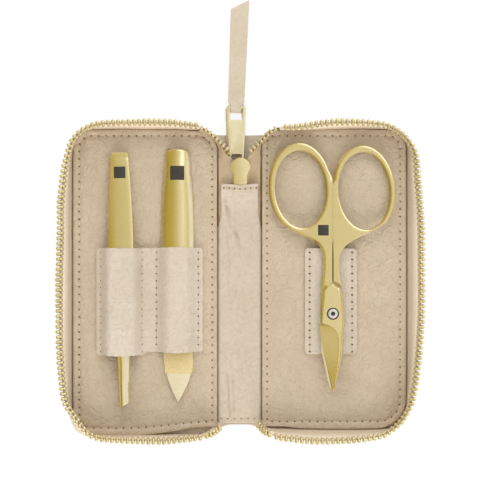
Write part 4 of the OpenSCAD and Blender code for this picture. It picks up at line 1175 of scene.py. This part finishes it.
def strapPiece():
    s = strap
    barY = puller["length"] - puller["barR"]
    end = puller["length"] + s["length"]
    r = s["loopR"] + s["thick"] / 2
    layer = s["thick"] / 2 + 0.01
    joinY = barY + s["join"]
    side = [Vector((0, y, z)) for y, z in (
        (end, layer), (end - 9, layer), (end - 18, layer), (joinY + 8, layer), (joinY + 4, layer),
        (joinY + 2, mix(layer, r, 0.5)), (joinY, r), (barY + 1.6, r))]
    loop = [Vector((0, barY - s["slack"] + r * math.cos(math.radians(a)), r * math.sin(math.radians(a))))
            for a in range(90, 271, 15)]
    path = side + loop + [Vector((0, p.y, -p.z)) for p in side[::-1]]
    run = runningLength(path)
    shoulder = barY + puller["topR"] + 1.0

    def place(across, along):
        p = onLine(path, run, along * run[-1])
        # narrow in the puller's window, then quickly wide, and still wider towards the end
        full = mix(5.8, s["wide"] + 0.1, (p.y - shoulder) / 30)
        half = mix(s["loopW"], full, smooth((p.y - shoulder) / 1.5 + 0.75)) / 2
        x = mix(-half, half, across)
        y = p.y
        if y > shoulder:
            # the far end is cut on a slant
            slant = s["bias"] * (x / s["wide"] - 0.5 + s["offset"])
            y = shoulder + (y - shoulder) * (1 + slant / (end - shoulder))
        z = p.z + 0.05 * ripple(x, y, 5, math.copysign(2, p.z))
        if p.y < shoulder + 1.5:
            z *= 1 - 0.05 * math.cos(x * 2.2)
        return x, y, z
    piece = thicken(gridPiece("pullStrap", 16, 190, place), s["thick"], 0, 0.16)
    lean = Matrix.Rotation(math.radians(-s["lean"]), 4, "Z") @ Matrix.Translation((0, -barY * mm, 0))
    piece.data.transform(inPuller @ Matrix.Translation((s["shift"] * mm, barY * mm, 0)) @ lean)
    return piece


dress(pullerPiece(), zipGold, "puller", ("zip_puller",), 21)
dress(strapPiece(), outerLeather, "strap", ("pull_strap",), 50)
print("slider, puller and strap done")


# tool pocket and scissors' band
# each loop: start, width, height and the share of its width that its shoulders take
pocket = dict(top=12.2, foot=-26.2, panelTop=3.4, thick=0.9, hem=1.7, corner=0.7, groove=0.12,
              loops=((-49.55, 14.4, 4.9, 0.25), (-29.7, 14.8, 3.8, 0.34)), pitch=2.54, seamTop=11.6,
              seams=((-49.55, -25.4), (-35.15, -25.4), (-29.7, -24.4), (-14.9, -24.4)))
band = dict(top=12.2, foot=-26.2, x0=25.1, wide=15.2, hem=1.7, corner=1.2, groove=0.1, rise=0.2,
            shoulder=0.25, seams=((25.1, -25), (40.3, -25)))


def loopRise(t, shoulder):
    return 0 if t <= 0 or t >= 1 else smooth(t / shoulder) * smooth((1 - t) / shoulder)


def pocketSurface(x):
    rise = 0
    for x0, wide, high, shoulder in pocket["loops"]:
        rise += high * loopRise((x - x0) / wide, shoulder)
    return pocket["panelTop"] + rise


def pocketEdges(x):
    # the cut edges wander a little, and bulge where the loops are full
    bulge = sum(math.exp(-((x - x0 - wide / 2) / 4.5) ** 2)
                for x0, wide, high, shoulder in pocket["loops"])
    top = pocket["top"] + 0.12 * ripple(x, 0, 4) + 0.35 * math.exp(-((x + 22) / 6) ** 2)
    foot = pocket["foot"] + 0.12 * ripple(x, 9, 4) - 0.4 * bulge + 0.2 + 1.15 * smooth((x + 35.5) / 3)
    return foot, top


def seamGroove(x, lines, deep):
    # how far the rows of stitches draw the leather down at x
    return deep * sum(math.exp(-((x - line) / 0.4) ** 2) for line in lines)


def cornerCut(x, left, right, radius):
    # how far a rounded corner takes the end edge back at x
    near = max(0, radius - min(x - left, right - x))
    return radius - math.sqrt(max(0, radius * radius - near * near))


def pocketPiece():
    left = pocket["loops"][0][0] - pocket["hem"]
    right = pocket["loops"][1][0] + pocket["loops"][1][1] + pocket["hem"]
    seams = [at for start, wide, high, shoulder in pocket["loops"] for at in (start, start + wide)]

    def place(across, along):
        x = mix(left, right, across)
        foot, top = pocketEdges(x)
        cut = cornerCut(x, left, right, pocket["corner"])
        y = mix(foot + cut, top - cut, along)
        z = pocketSurface(x)
        lifted = smooth((z - pocket["panelTop"]) / 2)
        z += lifted * (0.1 * ripple(x * 0.8 + y * 0.5, y, 5) + 0.07 * ripple(x + y, y - x, 2.5, 7))
        return x, y, z - seamGroove(x, seams, pocket["groove"]) + 0.03
    return thicken(gridPiece("toolPocket", 150, 110, place), pocket["thick"], 1, 0.2, 3)


def bandPiece():
    seams = (band["x0"], band["x0"] + band["wide"])
    left, right = seams[0] - band["hem"], seams[1] + band["hem"]

    def place(across, along):
        x = mix(left, right, across)
        top = band["top"] + 0.15 * ripple(x, 2, 4)
        foot = band["foot"] + 0.6 + 0.3 * ripple(x, 7, 5)
        cut = cornerCut(x, left, right, band["corner"])
        y = mix(foot + cut, top - cut, along)
        rise = band["rise"] * loopRise((x - band["x0"]) / band["wide"], band["shoulder"])
        z = pocket["panelTop"] + 0.03 + rise - seamGroove(x, seams, band["groove"])
        return x, y, z + 0.02 * ripple(x, y, 3)
    return thicken(gridPiece("scissorsBand", 70, 110, place), pocket["thick"], 1, 0.2, 3)


dress(pocketPiece(), pocketLeather, "left_half", ("tool_pocket",), 60)
dress(bandPiece(), pocketLeather, "right_half", ("scissors_band",), 60)
sewnTop = pocket["panelTop"] + pocket["thick"] - 0.03
for word, body, seams, high in (("pocket", "left_half", pocket["seams"], sewnTop),
                                ("band", "right_half", band["seams"], sewnTop + 0.02)):
    for number, (x, foot) in enumerate(seams):
        line = [Vector((x, y, high)) for y in (pocket["seamTop"], foot)]
        stitchRow(f"{word}{number + 1}", line, pocket["pitch"], body, startAt=0.9,
                  holeScale=1.2)
seamY = lining["head"] - lining["headSeam"]
headLine = [Vector((x, seamY - 0.5 * math.exp(-((x - 0.3) / 3) ** 2), liningHeight(seamY) - 0.1))
            for x in range(-6, 7)]
stitchRow("liningHead", headLine, 1.95, "spine", startAt=0.3)
footLine = [Vector((x, lining["foot"] + lining["footSeam"], 2.2)) for x in range(-7, 8)]
stitchRow("liningFoot", footLine, 2.4, "spine", startAt=0.4, holeScale=0.8)
print("pocket and band done")


# tweezers
tweezers = dict(x=-42.2, y=0.5, turn=1.0, z=3.6, length=92, wide=9.1, tip=3.6, end=6.0, arm=1.0, gap=2.7,
                badge=4.15, badgeAt=(0, -7.2), edge=0.42, crown=0.14, grooveAt=1.6, groove=0.34,
                groundFrom=81.5, ground=0.3)
# they are turned about their middle and drawn from their joined end
inTweezers = spot(tweezers, "Z", tweezers["turn"]) @ Matrix.Translation((0, tweezers["length"] / 2 * mm, 0))


def armHalfWidth(d):
    w = tweezers
    t = d / w["length"]
    if t < 0.4:
        return mix(w["end"], w["wide"], math.sin(math.pi / 2 * t / 0.4) ** 0.8) / 2
    return mix(w["wide"], w["tip"], smooth((t - 0.4) / 0.48)) / 2


def armGap(d):
    return tweezers["gap"] * min(1, max(0, d - 3) / (tweezers["length"] * 0.8))


def armPiece(name, lower):
    length, thick, edge = tweezers["length"], tweezers["arm"], tweezers["edge"]
    # the cross-section: side, distance in from the edge, share of the thickness
    corner = [(edge * (1 - math.cos(a)), 0.62 + 0.36 * math.sin(a)) for a in (0.5, 1.0, 1.57)]
    profile = [(-1, 0.0, 0.12), (-1, 0.0, 0.62)] + [(-1, *point) for point in corner]
    profile += [(mix(-1, 1, i / 10), None, 1) for i in range(3, 10)]
    profile += [(1, *point) for point in corner[::-1]]
    profile += [(1, 0.0, 0.62), (1, 0.0, 0.12), (1, 0.15, 0.0), (0, None, 0), (-1, 0.15, 0.0),
                (-1, 0.0, 0.12)]

    def place(across, along):
        d = length * along
        w = armHalfWidth(d)
        # the joined end is rounded over its last millimetre
        tuck = math.sqrt(max(0, 1 - (1 - min(d / 0.7, 1)) ** 2))
        w *= mix(0.86, 1, tuck)
        z0 = 0 if lower else thick + armGap(d) + 0.05
        side, inset, share = profile[round(across * (len(profile) - 1))]
        x = side * (w - edge) if inset is None else side * (w - inset)
        z = z0 + thick * share
        if side == -1 and inset is not None and share > 0.3 and not lower:
            # the left edge is ground to a wide slope
            ground = smooth((d - 14) / 24) * smooth((72 - d) / 6)
            x += 0.95 * ground * inset / edge
            z = z0 + thick * mix(share, 0.35 + 0.63 * inset / edge, ground)
        if share > 0.9 and not lower:
            z += tweezers["crown"] * (1 - (x / max(w, 0.1)) ** 2) * smooth(d / 4)
            # groove behind the welded end and the ground flat at the tip
            z -= tweezers["groove"] * math.exp(-((d - tweezers["grooveAt"]) / 0.4) ** 2)
            z -= tweezers["ground"] * smooth((d - tweezers["groundFrom"]) / 0.8) * smooth(0.7 + x / 1.2)
            # below the pocket the face leans right and a strip on the left leans left
            z -= smooth((d - 66) / 6) * (0.12 * max(0, x + 0.5) + 0.55 * max(0, -x - 0.5))
        z = z0 + (z - z0) * mix(0.55, 1, tuck)
        slant = tweezers["tip"] * 0.5 * smooth((along - 0.9) / 0.1) ** 3 * (0.5 + 0.5 * x / w)
        slant += 0.7 * smooth((d - 80) / 12)
        x *= 1 + 0.08 * smooth((d - 50) / 25) * smooth((88 - d) / 8)
        return x + 0.35 * smooth((d - 50) / 25), -d + slant, z
    return closeUp(gridPiece(name, 22, 150, place))


lowerArm, upperArm = armPiece("tweezersLowerArm", True), armPiece("tweezersUpperArm", False)


def badgePiece(name, settings, low, high, matrix, body, node):
    # a blank dark square, let into the tool's face
    half = settings["badge"] / 2
    u, v = settings["badgeAt"]
    piece = block(name, (u - half, v - half, low), (u + half, v + half, high), 0.07, 2)
    piece.data.transform(matrix)
    dress(piece, darkEnamel, body, (node,))


armTop = 2 * tweezers["arm"] + armGap(-tweezers["badgeAt"][1]) + 0.05
for piece, body, node in ((lowerArm, "tweezers", "tweezers_lower_arm"),
                          (upperArm, "tweezers_arm", "tweezers_upper_arm")):
    dress(piece, satinGold, body, (node,), 40)
    # towards the tip the face's right part is painted paler as painted reflection, its ground face at the tip
    # included
    piece.data.materials.append(paleGoldPaintedReflection)
    for face in piece.data.polygons:
        if face.center.y < -70 * mm and face.center.x > -0.3 * mm and face.normal.z > 0.7:
            face.material_index = 1
    piece.data.transform(inTweezers)
badgePiece("tweezersBadge", tweezers, armTop - 0.15, armTop + 0.3, inTweezers, "tweezers_arm",
           "tweezers_badge")
print("tweezers done")


# nail file
nailFile = dict(x=-22.3, y=47.9, z=3.6, handleL=70, handleW=11.6, rise=3.0, sheet=0.7, foot=0.5, show=21.5,
                bladeW=10.4, bladeFoot=0.2, bladeTop=1.2, bladeFrom=52.5, tangHalf=2.4, point=11, badge=5.05,
                badgeAt=(0, -8.8))
inFile = spot(nailFile)


def handleHalfWidth(d):
    t = d / nailFile["handleL"]
    full = mix(0.7, 1, math.sin(math.pi / 2 * min(t / 0.42, 1)) ** 0.9)
    end = math.sqrt(max(0, 1 - (max(0, 0.7 - d) / 0.7) ** 2)) * 0.15 + 0.85
    return nailFile["handleW"] / 2 * full * end * mix(1, 0.93, smooth((t - 0.5) / 0.5))


def handleCrown(d):
    t = d / nailFile["handleL"]
    return nailFile["rise"] * mix(0.72, 1, smooth(d / 10)) * mix(1, 0.9, smooth((t - 0.6) / 0.4))


def handlePiece():
    foot, sheet, cols = nailFile["foot"], nailFile["sheet"], 26

    def place(across, along):
        d = 0.12 + (nailFile["handleL"] - 0.12) * along ** 1.4
        w, crown = handleHalfWidth(d), handleCrown(d)
        # the top end rounds down over its last millimetre
        crown = foot + (crown - foot) * (0.35 + 0.65 * math.sqrt(max(0, 1 - max(0, 1 - d / 0.9) ** 2)))
        k = round(across * (2 * cols + 2))
        if k <= cols:
            x = mix(w, -w, k / cols)
            d -= 0.9 * (1 - (x / w) ** 2) * math.exp(-d / 1.5) - 0.9 * math.exp(-d / 1.5)
            return x, -d, foot + (crown - foot) * (1 - abs(x / w) ** 2.2)
        k = min(k - cols - 1, cols)
        inner = w - sheet
        x = mix(-inner, inner, k / cols)
        z = max(0, (crown - foot) * (1 - (x / inner) ** 2) + foot - sheet)
        return (x, -d, z) if across < 0.9999 else (w, -d, foot)
    piece = closeUp(gridPiece("fileHandle", 2 * cols + 2, 130, place))
    piece.data.transform(inFile)
    return piece


def bladeOutline():
    # a narrow tang inside the handle, then the blade's shoulder, side and point
    f = nailFile
    end, w, shoulder = f["handleL"] + f["show"], f["bladeW"] / 2, f["handleL"]
    begin = end - f["point"] - 4
    points = [(f["tangHalf"], -f["bladeFrom"]), (f["tangHalf"], -shoulder - 0.1), (w, -shoulder - 1.6)]
    for t in [i / 24 for i in range(25)]:
        x = w * (1 - t ** 1.7 * 0.98) * (1 - 0.04 * smooth(t * 3))
        points.append((max(x, 0.05), -mix(begin, end - 0.8, t)))
    points += [(-x, y) for x, y in points[::-1]]
    lean = lambda y: 0.5 * smooth((-y - 68) / 10) * (1 - 0.5 * smooth((-y - 82) / 10))
    return [(x + lean(y), y) for x, y in points]


def gritPiece(name, low, high):
    start, half = nailFile["handleL"] + 1.7, nailFile["bladeW"] / 2 - 0.12
    end = nailFile["handleL"] + nailFile["show"] - nailFile["point"]
    outer = [(half, -start), (half, -end + 4), (half * 0.985, -end + 1.5), (half * 0.94, -end)]
    points = [(x + 0.5 * smooth((-y - 68) / 10), y) for x, y in outer + [(-x, y) for x, y in outer[::-1]]]
    piece = plate(name, [points], low, high, 0.04, 1)
    piece.data.transform(inFile)
    return piece


fileBlade = plate("fileBlade", [bladeOutline()], nailFile["bladeFoot"], nailFile["bladeTop"], 0.22)
fileBlade.data.transform(inFile)
fileCrown = handleCrown(-nailFile["badgeAt"][1])
dress(handlePiece(), satinGold, "file", ("file_handle",), 50)
dress(fileBlade, tipGold, "file", ("file_blade",), 21)
for name, low, node in (("fileGritTop", 1.14, "file_grit_top"), ("fileGritBack", 0.08, "file_grit_back")):
    dress(gritPiece(name, low, low + 0.18), fileGrit, "file", (node,))
badgePiece("fileBadge", nailFile, fileCrown - 0.6, fileCrown + 0.04, inFile, "file", "file_badge")
print("file done")


# nail scissors
scissors = dict(x=33.3, y=-11.2, z=6.54008, tilt=1.6892, ringA=9.2, ringB=13.8, rim=2.95, side=2.0, turn=4.0,
                frontRing=(-11.7, 44.4), backRing=(11.0, 43.8), thick=1.2, shank=2.2, gap=0.05,
                screwR=1.25, headR=1.8, seatShadeR=2.16, socket=1.5, badge=3.8, badgeAt=(-3.4, 29.8))
inScissors = spot(scissors, "X", -scissors["tilt"])
# the outer edge of each shank, from its ring down
frontShank = [(-14.6, 29.4), (-11.5, 28.0), (-8.5, 26.8), (-6.6, 25.8), (-5.2, 24.7), (-4.3, 23.4),
              (-3.75, 22), (-3.45, 20.4), (-3.4, 18.6), (-3.45, 16.4), (-3.65, 14), (-3.9, 11.8),
              (-4.1, 10.6)]
backShank = [(17.4, 31.5), (15.8, 30.4), (14, 29.4), (11.7, 28.25), (9.4, 27.2), (7.5, 26.25), (5.9, 25.3),
             (4.6, 24.3), (3.6, 23.2), (2.8, 21.9), (2.3, 20.5), (2.07, 19), (1.98, 17.4), (2.12, 15),
             (2.4, 12.8), (2.62, 11.2)]


def ellipsePoints(middle, a, bTop, bFoot, start, end, steps):
    turn = math.radians(scissors["turn"])
    points = []
    for i in range(steps + 1):
        angle = math.radians(mix(start, end, i / steps))
        x, y = a * math.cos(angle), (bTop if math.sin(angle) > 0 else bFoot) * math.sin(angle)
        points.append((middle[0] + x * math.cos(turn) - y * math.sin(turn),
                       middle[1] + x * math.sin(turn) + y * math.cos(turn)))
    return points


def handleOutlines(front):
    s = scissors
    middle, shank = (s["frontRing"], frontShank) if front else (s["backRing"], backShank)
    a, bTop, bFoot = s["ringA"] + s["side"], s["ringB"] + s["rim"], s["ringB"] + s["side"] * 0.95
    # up the edge that meets the other half, round the ring and down the shank
    if front:
        web = [(-0.06, y) for y in (11.3, 18, 24, 26, 40, 44, 46.6)] + [(-0.35, 48.2), (-0.9, 49.6)]
        outer = web + ellipsePoints(middle, a, bTop, bFoot, 22, 231, 70) + shank
        outer += [(-4.25, 9.6), (-4.0, 9.2), (-2.3, 9.15), (-1.15, 10.2)]
    else:
        web = [(0.06, y) for y in (11.45, 18, 24, 26, 40, 44, 46.2)] + [(0.3, 47.9), (0.55, 49.2)]
        outer = web + ellipsePoints(middle, a - 0.2, bTop - 0.4, bFoot, 158, -47, 70) + shank
        outer += [(2.9, 9.45)]
    hole = ellipsePoints(middle, s["ringA"], s["ringB"], s["ringB"], 0, 360, 72)[:-1]
    return outer, hole


def handleHalf(name, front):
    outer, hole = handleOutlines(front)
    half = scissors["shank"] / 2
    piece = plate(name, [outer, hole], -half, half, 0.62, 1)
    piece.data.materials.append(satinGold)
    shankLeft = [(v, u) for u, v in frontShank[::-1]]
    for vertex in piece.data.vertices:
        x, y, z = vertex.co / mm
        # where the two halves meet their edges are nearly sharp
        if abs(x) < 0.75 and 11 < y < 47:
            apart = mix(0.1, 0.035, smooth((y - 22) / 4))
            x = math.copysign(apart + (abs(x) - 0.06) * mix(0.2, 1, smooth((y - 46) / 2)), x)
            if 25 < y < 46.7 and abs(z) > 0.4:
                z = math.copysign(half, z)
        elif z > 0:
            # the flat face sits a little to the right, so slopes that face left are the broad ones
            x += 0.34 * smooth((z - 0.4) / 0.6)
        # a broad slope down the left of the front shank
        inset = x - between(shankLeft, y)
        if front and 8 < y < 27 and z > 0 and 0 < inset < 0.9:
            x += inset * 2.1 * smooth((27 - y) / 5)
        vertex.co = Vector((x, y, z)) * mm
    return piece


# edges of each blade as (height along the blade, place across) pairs; facet is the width of its
# ground slope, hollow the right-hand limit of the hollow
frontEdges = dict(
    left=((-28.4, -0.1), (-25.3, -0.5), (-22.4, -1.15), (-19.3, -1.85), (-16.6, -2.45), (-13.5, -3.25),
          (-8.5, -4.4), (-4.6, -4.6), (-1.4, -4.5), (3, -4.4), (7.5, -4.25), (10.4, -4.05), (12.6, -3.8),
          (13.4, -3.7)),
    right=((-28.4, 0.05), (-25.3, 1.0), (-21.3, 2.0), (-16.5, 3.1), (-12.2, 3.5), (-6.2, 3.9), (-1.4, 4.0),
           (1.8, 3.9), (4.7, 3.7), (7.6, 3.3), (8.8, 2.95), (11.0, 0.0), (11.1, -0.12), (13.4, -0.12)),
    facet=((-28.4, 0.25), (-20, 0.5), (-8, 0.6), (-3.8, 0.75), (2, 1.1), (9, 1.7), (13.4, 1.2)),
    hollow=((-26.4, 0.4), (-23.3, 0.86), (-19.4, 1.45), (-15.5, 2.0), (-11.6, 2.2), (-8.5, 2.0), (-6.5, 1.25),
            (-5.0, 0.1), (-4.2, -1.4), (-3.9, -2.4), (-3.6, -4.4)))
backEdges = dict(
    left=((-28.3, -0.3), (-25.7, -1.3), (-22.4, -2.3), (-16.6, -3.45), (-13.2, -4.2), (-10, -4.4),
          (-1.4, -4.1), (9.2, -4.0), (11.4, -0.1), (11.5, 0.05), (13.2, 0.06)),
    right=((-28.3, 0.1), (-23.3, 1.0), (-18.2, 2.0), (-12.2, 3.0), (-5.7, 3.6), (3, 3.7), (7.6, 3.3),
           (9.2, 2.9), (13.2, 2.5)),
    facet=((-28.3, 0.3), (9, 0.35), (13.2, 0.35)), hollow=None)


def bladeHalf(name, edges, up, vTop):
    # a closed skin; its outer face has ground facets and, in front, a hollow
    columns, rows = 40, 190
    tip, thick = edges["left"][0][0], scissors["thick"]
    base = scissors["gap"] / 2

    def place(across, along):
        v = mix(vTop, tip, along)
        left, right = between(edges["left"], v), between(edges["right"], v)
        right = max(right, left + 0.08)
        k = round(across * (2 * columns))
        if k > columns:
            return mix(right, left, (k - columns) / columns), v, base * up
        x = mix(left, right, k / columns)
        facet = min(between(edges["facet"], v), (right - left) * 0.45)
        thin = mix(0.5, 1, smooth((v - tip) / 9))
        ground = 0.75 * max(0, 1 - (x - left) / facet) ** 1.4
        drop = 0.4 * max(0, 1 - (right - x) / 0.45) ** 1.5
        if edges["hollow"]:
            # a faint line beside the right edge, and the hollow that runs to the left one
            line = 0.12 * math.exp(-((right - x - 0.75) / 0.16) ** 2) * smooth((v + 24) / 4)
            drop += 0.05 * max(0, x - left) + line
            limit = between(edges["hollow"], v) if v < -3.6 else left
            inside = smooth((limit - x) / 0.22) * smooth((-3.6 - v) / 0.25)
            drop += inside * (0.06 + (thick * thin - 0.35) * max(0, limit - x) / max(limit - left, 0.3))
            ground *= 1 - inside
            # the flat ends in a low roof; above it the blade runs in under the shank
            drop += 0.45 * smooth((v - 11.35 + 0.95 * max(0, -x)) / 0.2)
        drop = min(drop + ground, thick * thin - 0.12)
        return x, v, (base + thick * thin - drop) * up
    piece = closeUp(gridPiece(name, 2 * columns, rows, place))
    for material in (satinGold, paleGoldPaintedReflection, hollowGoldPaintedShade):
        piece.data.materials.append(material)
    for face in piece.data.polygons:
        x, v, z = face.center / mm
        if face.normal.z * up < 0.5:
            # the back blade's ground inner face shows beside the front blade's edge; faces that look left
            # take the darker hollow gold as painted shade
            face.material_index = 2 if face.normal.z > 0.5 or face.normal.x < -0.7 else 0
            continue
        # the hollow is darker gold, partly its own ground finish and partly painted shade; the flat beyond
        # the facet is paler gold, partly its polish and partly painted reflection
        left = between(edges["left"], v)
        if edges["hollow"] and v < -3.7 and x < between(edges["hollow"], v) - 0.1:
            face.material_index = 2
        elif x - left > between(edges["facet"], v) and v < 11.4 - 0.95 * max(0, -x):
            face.material_index = 1
    return piece


def circle(radius, count):
    return [(radius * math.cos(2 * math.pi * i / count), radius * math.sin(2 * math.pi * i / count))
            for i in range(count)]


def screwPiece():
    # turned head with a hexagon socket, sunk into the front blade; only its upper edge is rounded
    s = scissors
    top = s["thick"] + s["gap"] + 0.15
    head = rod("screwHead", (0, 0, top - 0.7), (0, 0, top), s["headR"], 48)
    pick(head)
    bpy.ops.object.mode_set(mode="EDIT")
    bpy.ops.mesh.select_all(action="DESELECT")
    bpy.ops.object.mode_set(mode="OBJECT")
    for face in head.data.polygons:
        face.select = face.normal.z > 0.9
    bpy.ops.object.mode_set(mode="EDIT")
    bpy.ops.mesh.bevel(offset=0.28 * mm, segments=4, affect="EDGES")
    bpy.ops.object.mode_set(mode="OBJECT")
    rings = [circle(s["headR"] * 0.74, 36), circle(s["socket"] / math.sqrt(3), 6)]
    collar = plate("screwCollar", rings, top - 0.3, top + 0.12, 0.1)
    shaft = rod("screwShaft", (0, 0, -1.2), (0, 0, top - 0.5), s["screwR"], 32)
    piece = joined("scissorsScrew", [head, collar, shaft])
    piece.data.transform(inScissors)
    return piece


# painted shade: a dark disc on the socket's floor and a dark ring in the gap round the head
seatShadeRings = [circle(scissors["seatShadeR"], 48), circle(scissors["headR"], 48)[::-1]]
socketShade = joined("screwSocketShade", [
    rod("socketFloorShade", (0, 0, 1.3), (0, 0, 1.44), scissors["socket"] / math.sqrt(3) * 1.02, 6),
    plate("screwSeatShade", seatShadeRings, 1.1, 1.42, 0.05, 1)])
socketShade.data.transform(inScissors)
front = joined("scissorsFront", [handleHalf("frontHandle", True),
                                 bladeHalf("frontBlade", frontEdges, 1, 13.3)])
back = joined("scissorsBack", [handleHalf("backHandle", False),
                               bladeHalf("backBlade", backEdges, -1, 13.2)])
for piece in (front, back):
    piece.data.transform(inScissors)
dress(front, None, "scissors_front", ("scissors_front_half",), 20)
dress(back, None, "scissors", ("scissors_back_half",), 20)
dress(screwPiece(), turnedSteel, "scissors", ("scissors_screw",), 40)
dress(socketShade, paintedRecessShade, "scissors")
half = scissors["shank"] / 2
badgePiece("scissorsBadge", scissors, half - 0.2, half + 0.09, inScissors, "scissors_front",
           "scissors_badge")
print("scissors done")


# the boards stay as the CAD model has them
for name in ("left_board", "right_board"):
    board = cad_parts[name]
    board.data.materials.clear()
    board.data.materials.append(boardCard)


# floor, light and camera
studio = dict(floorSize=6.0, plainWhite=0.86, glow=1.03, floorDrop=-0.00002, worldLight=0.4)
# each light: name, place, size, power and whether the metal shows it
lights = (("keySoftbox", (0.35, 0.5, 0.8), (0.95, 0.95), 2.5, True),
          ("lowFill", (0.05, -0.82, 0.3), (0.8, 0.5), 9.0, False),
          ("farFill", (-0.1, 0.8, 0.4), (0.8, 0.5), 4.6, False),
          ("sideFill", (-0.85, -0.1, 0.4), (0.5, 0.9), 1.9, False),
          ("sideFill", (0.85, -0.1, 0.4), (0.5, 0.9), 1.9, False))


def softLight(name, place, size, power, shiny):
    dropAll()
    bpy.ops.object.light_add(type="AREA", location=place)
    light = bpy.context.object
    light.name = name
    light.data.shape = "RECTANGLE"
    light.data.size, light.data.size_y = size
    light.data.energy = power
    light.rotation_euler = (-light.location).to_track_quat("-Z", "Y").to_euler()
    light.visible_glossy = shiny


def floorMaterial():
    # seen by the camera it is nearly plain white, with the object's shadow faint on it
    m = Mixer("paleFloor", (0.93, 0.93, 0.93, 1), 0.5)
    nodes, output = m.tree.nodes, m.tree.nodes["Material Output"]
    m.join(m.bump(m.clouds(3, 2), 0.02, 0.05), "Normal")
    glow = m.add("ShaderNodeEmission")
    glow.inputs["Color"].default_value = (1, 1, 1, 1)
    glow.inputs["Strength"].default_value = studio["glow"]
    path = m.add("ShaderNodeLightPath")
    share = m.maths("MULTIPLY", path.outputs["Is Camera Ray"], studio["plainWhite"])
    blend = m.add("ShaderNodeMixShader")
    m.join(share, blend.inputs[0])
    m.join(m.shader.outputs[0], blend.inputs[1])
    m.join(glow.outputs[0], blend.inputs[2])
    m.join(blend.outputs[0], output.inputs["Surface"])
    return m.material


dropAll()
bpy.ops.mesh.primitive_plane_add(size=studio["floorSize"], location=(0, 0, 0))
floor = bpy.context.object
floor.name = "paleFloor"
floor.data.transform(Matrix.Translation((0, 0, studio["floorDrop"])))
floor.data.materials.append(floorMaterial())

for light in lights:
    softLight(*light)


def reflectedCard(name, turn, place, size, stops):
    # a card that is seen only in the metal; its colours run along its own X
    dropAll()
    bpy.ops.mesh.primitive_plane_add(size=1)
    card = bpy.context.object
    card.name = name
    card.data.transform(Matrix.Diagonal((*size, 1, 1)))
    m = Mixer(name, (0, 0, 0, 1), 1)
    apart = m.add("ShaderNodeSeparateXYZ")
    m.join(m.place, apart.inputs[0])
    ramp = m.add("ShaderNodeValToRGB")
    m.join(m.ranged(apart.outputs["X"], 0, 1, -size[0] / 2, size[0] / 2), ramp.inputs[0])
    while len(ramp.color_ramp.elements) < len(stops):
        ramp.color_ramp.elements.new(0.5)
    for element, (at, colour) in zip(ramp.color_ramp.elements, stops):
        element.position = at / size[0] + 0.5
        element.color = (*colour, 1)
    glow = m.add("ShaderNodeEmission")
    m.join(ramp.outputs["Color"], glow.inputs["Color"])
    m.join(glow.outputs[0], m.tree.nodes["Material Output"].inputs["Surface"])
    card.data.materials.append(m.material)
    card.rotation_euler = turn
    card.location = place
    card.visible_camera = card.visible_diffuse = card.visible_shadow = card.visible_transmission = False


# the metal's colours run from olive shade on the left to a bright streak on the right
reflectedCard("ceilingCard", (0, 0, 0), (0, 0, 0.9), (4, 4), (
    (-2, (0.6, 0.5, 0.12)), (-1.2, (0.5, 0.4, 0.07)), (-0.65, (0.54, 0.43, 0.11)),
    (-0.33, (0.58, 0.48, 0.18)), (-0.1, (0.64, 0.56, 0.3)), (0.08, (0.78, 0.72, 0.5)),
    (0.35, (0.88, 0.83, 0.66)), (0.5, (0.92, 0.88, 0.74)), (0.85, (0.78, 0.72, 0.5)),
    (1.5, (0.7, 0.62, 0.36))))
reflectedCard("leftCard", (0, math.pi / 2, 0), (-1.9, 0, 0.45), (1, 4),
              ((-0.5, (0.44, 0.35, 0.12)), (0.5, (0.2, 0.14, 0.03))))
reflectedCard("nearCard", (math.pi / 2, 0, 0), (0, -1.9, 0.45), (4, 1),
              ((-2, (0.22, 0.16, 0.04)), (2, (0.35, 0.28, 0.12))))

# rays from the camera, from metal and through glass see a white world, the rest a dimmer one
world = bpy.data.worlds.new("studioWorld")
bpy.context.scene.world = world
world.use_nodes = True
tree = world.node_tree
background = tree.nodes["Background"]
background.inputs["Color"].default_value = (1, 1, 1, 1)
path = tree.nodes.new("ShaderNodeLightPath")
seen = path.outputs["Is Camera Ray"]
for ray in ("Is Glossy Ray", "Is Transmission Ray"):
    total = tree.nodes.new("ShaderNodeMath")
    total.operation = "ADD"
    tree.links.new(seen, total.inputs[0])
    tree.links.new(path.outputs[ray], total.inputs[1])
    seen = total.outputs[0]
level = tree.nodes.new("ShaderNodeMapRange")
level.inputs["To Min"].default_value = studio["worldLight"]
level.inputs["To Max"].default_value = 1.0
tree.links.new(seen, level.inputs["Value"])
tree.links.new(level.outputs["Result"], background.inputs["Strength"])

# the photograph looks straight down from about 0.8 m and shows 172.8 mm of the table
photo = dict(middle=(0.00014, 0.01512), height=0.8, frameWidth=0.1728, sensor=36)
camera = bpy.data.objects.new("camera", bpy.data.cameras.new("camera"))
bpy.context.scene.collection.objects.link(camera)
camera.location = (*photo["middle"], photo["height"])
camera.data.sensor_width = photo["sensor"]
camera.data.lens = photo["sensor"] * photo["height"] / photo["frameWidth"]
camera.data.clip_start, camera.data.clip_end = 0.01, 20
bpy.context.scene.camera = camera
bpy.context.scene.view_settings.view_transform = "Standard"
print("stage done")
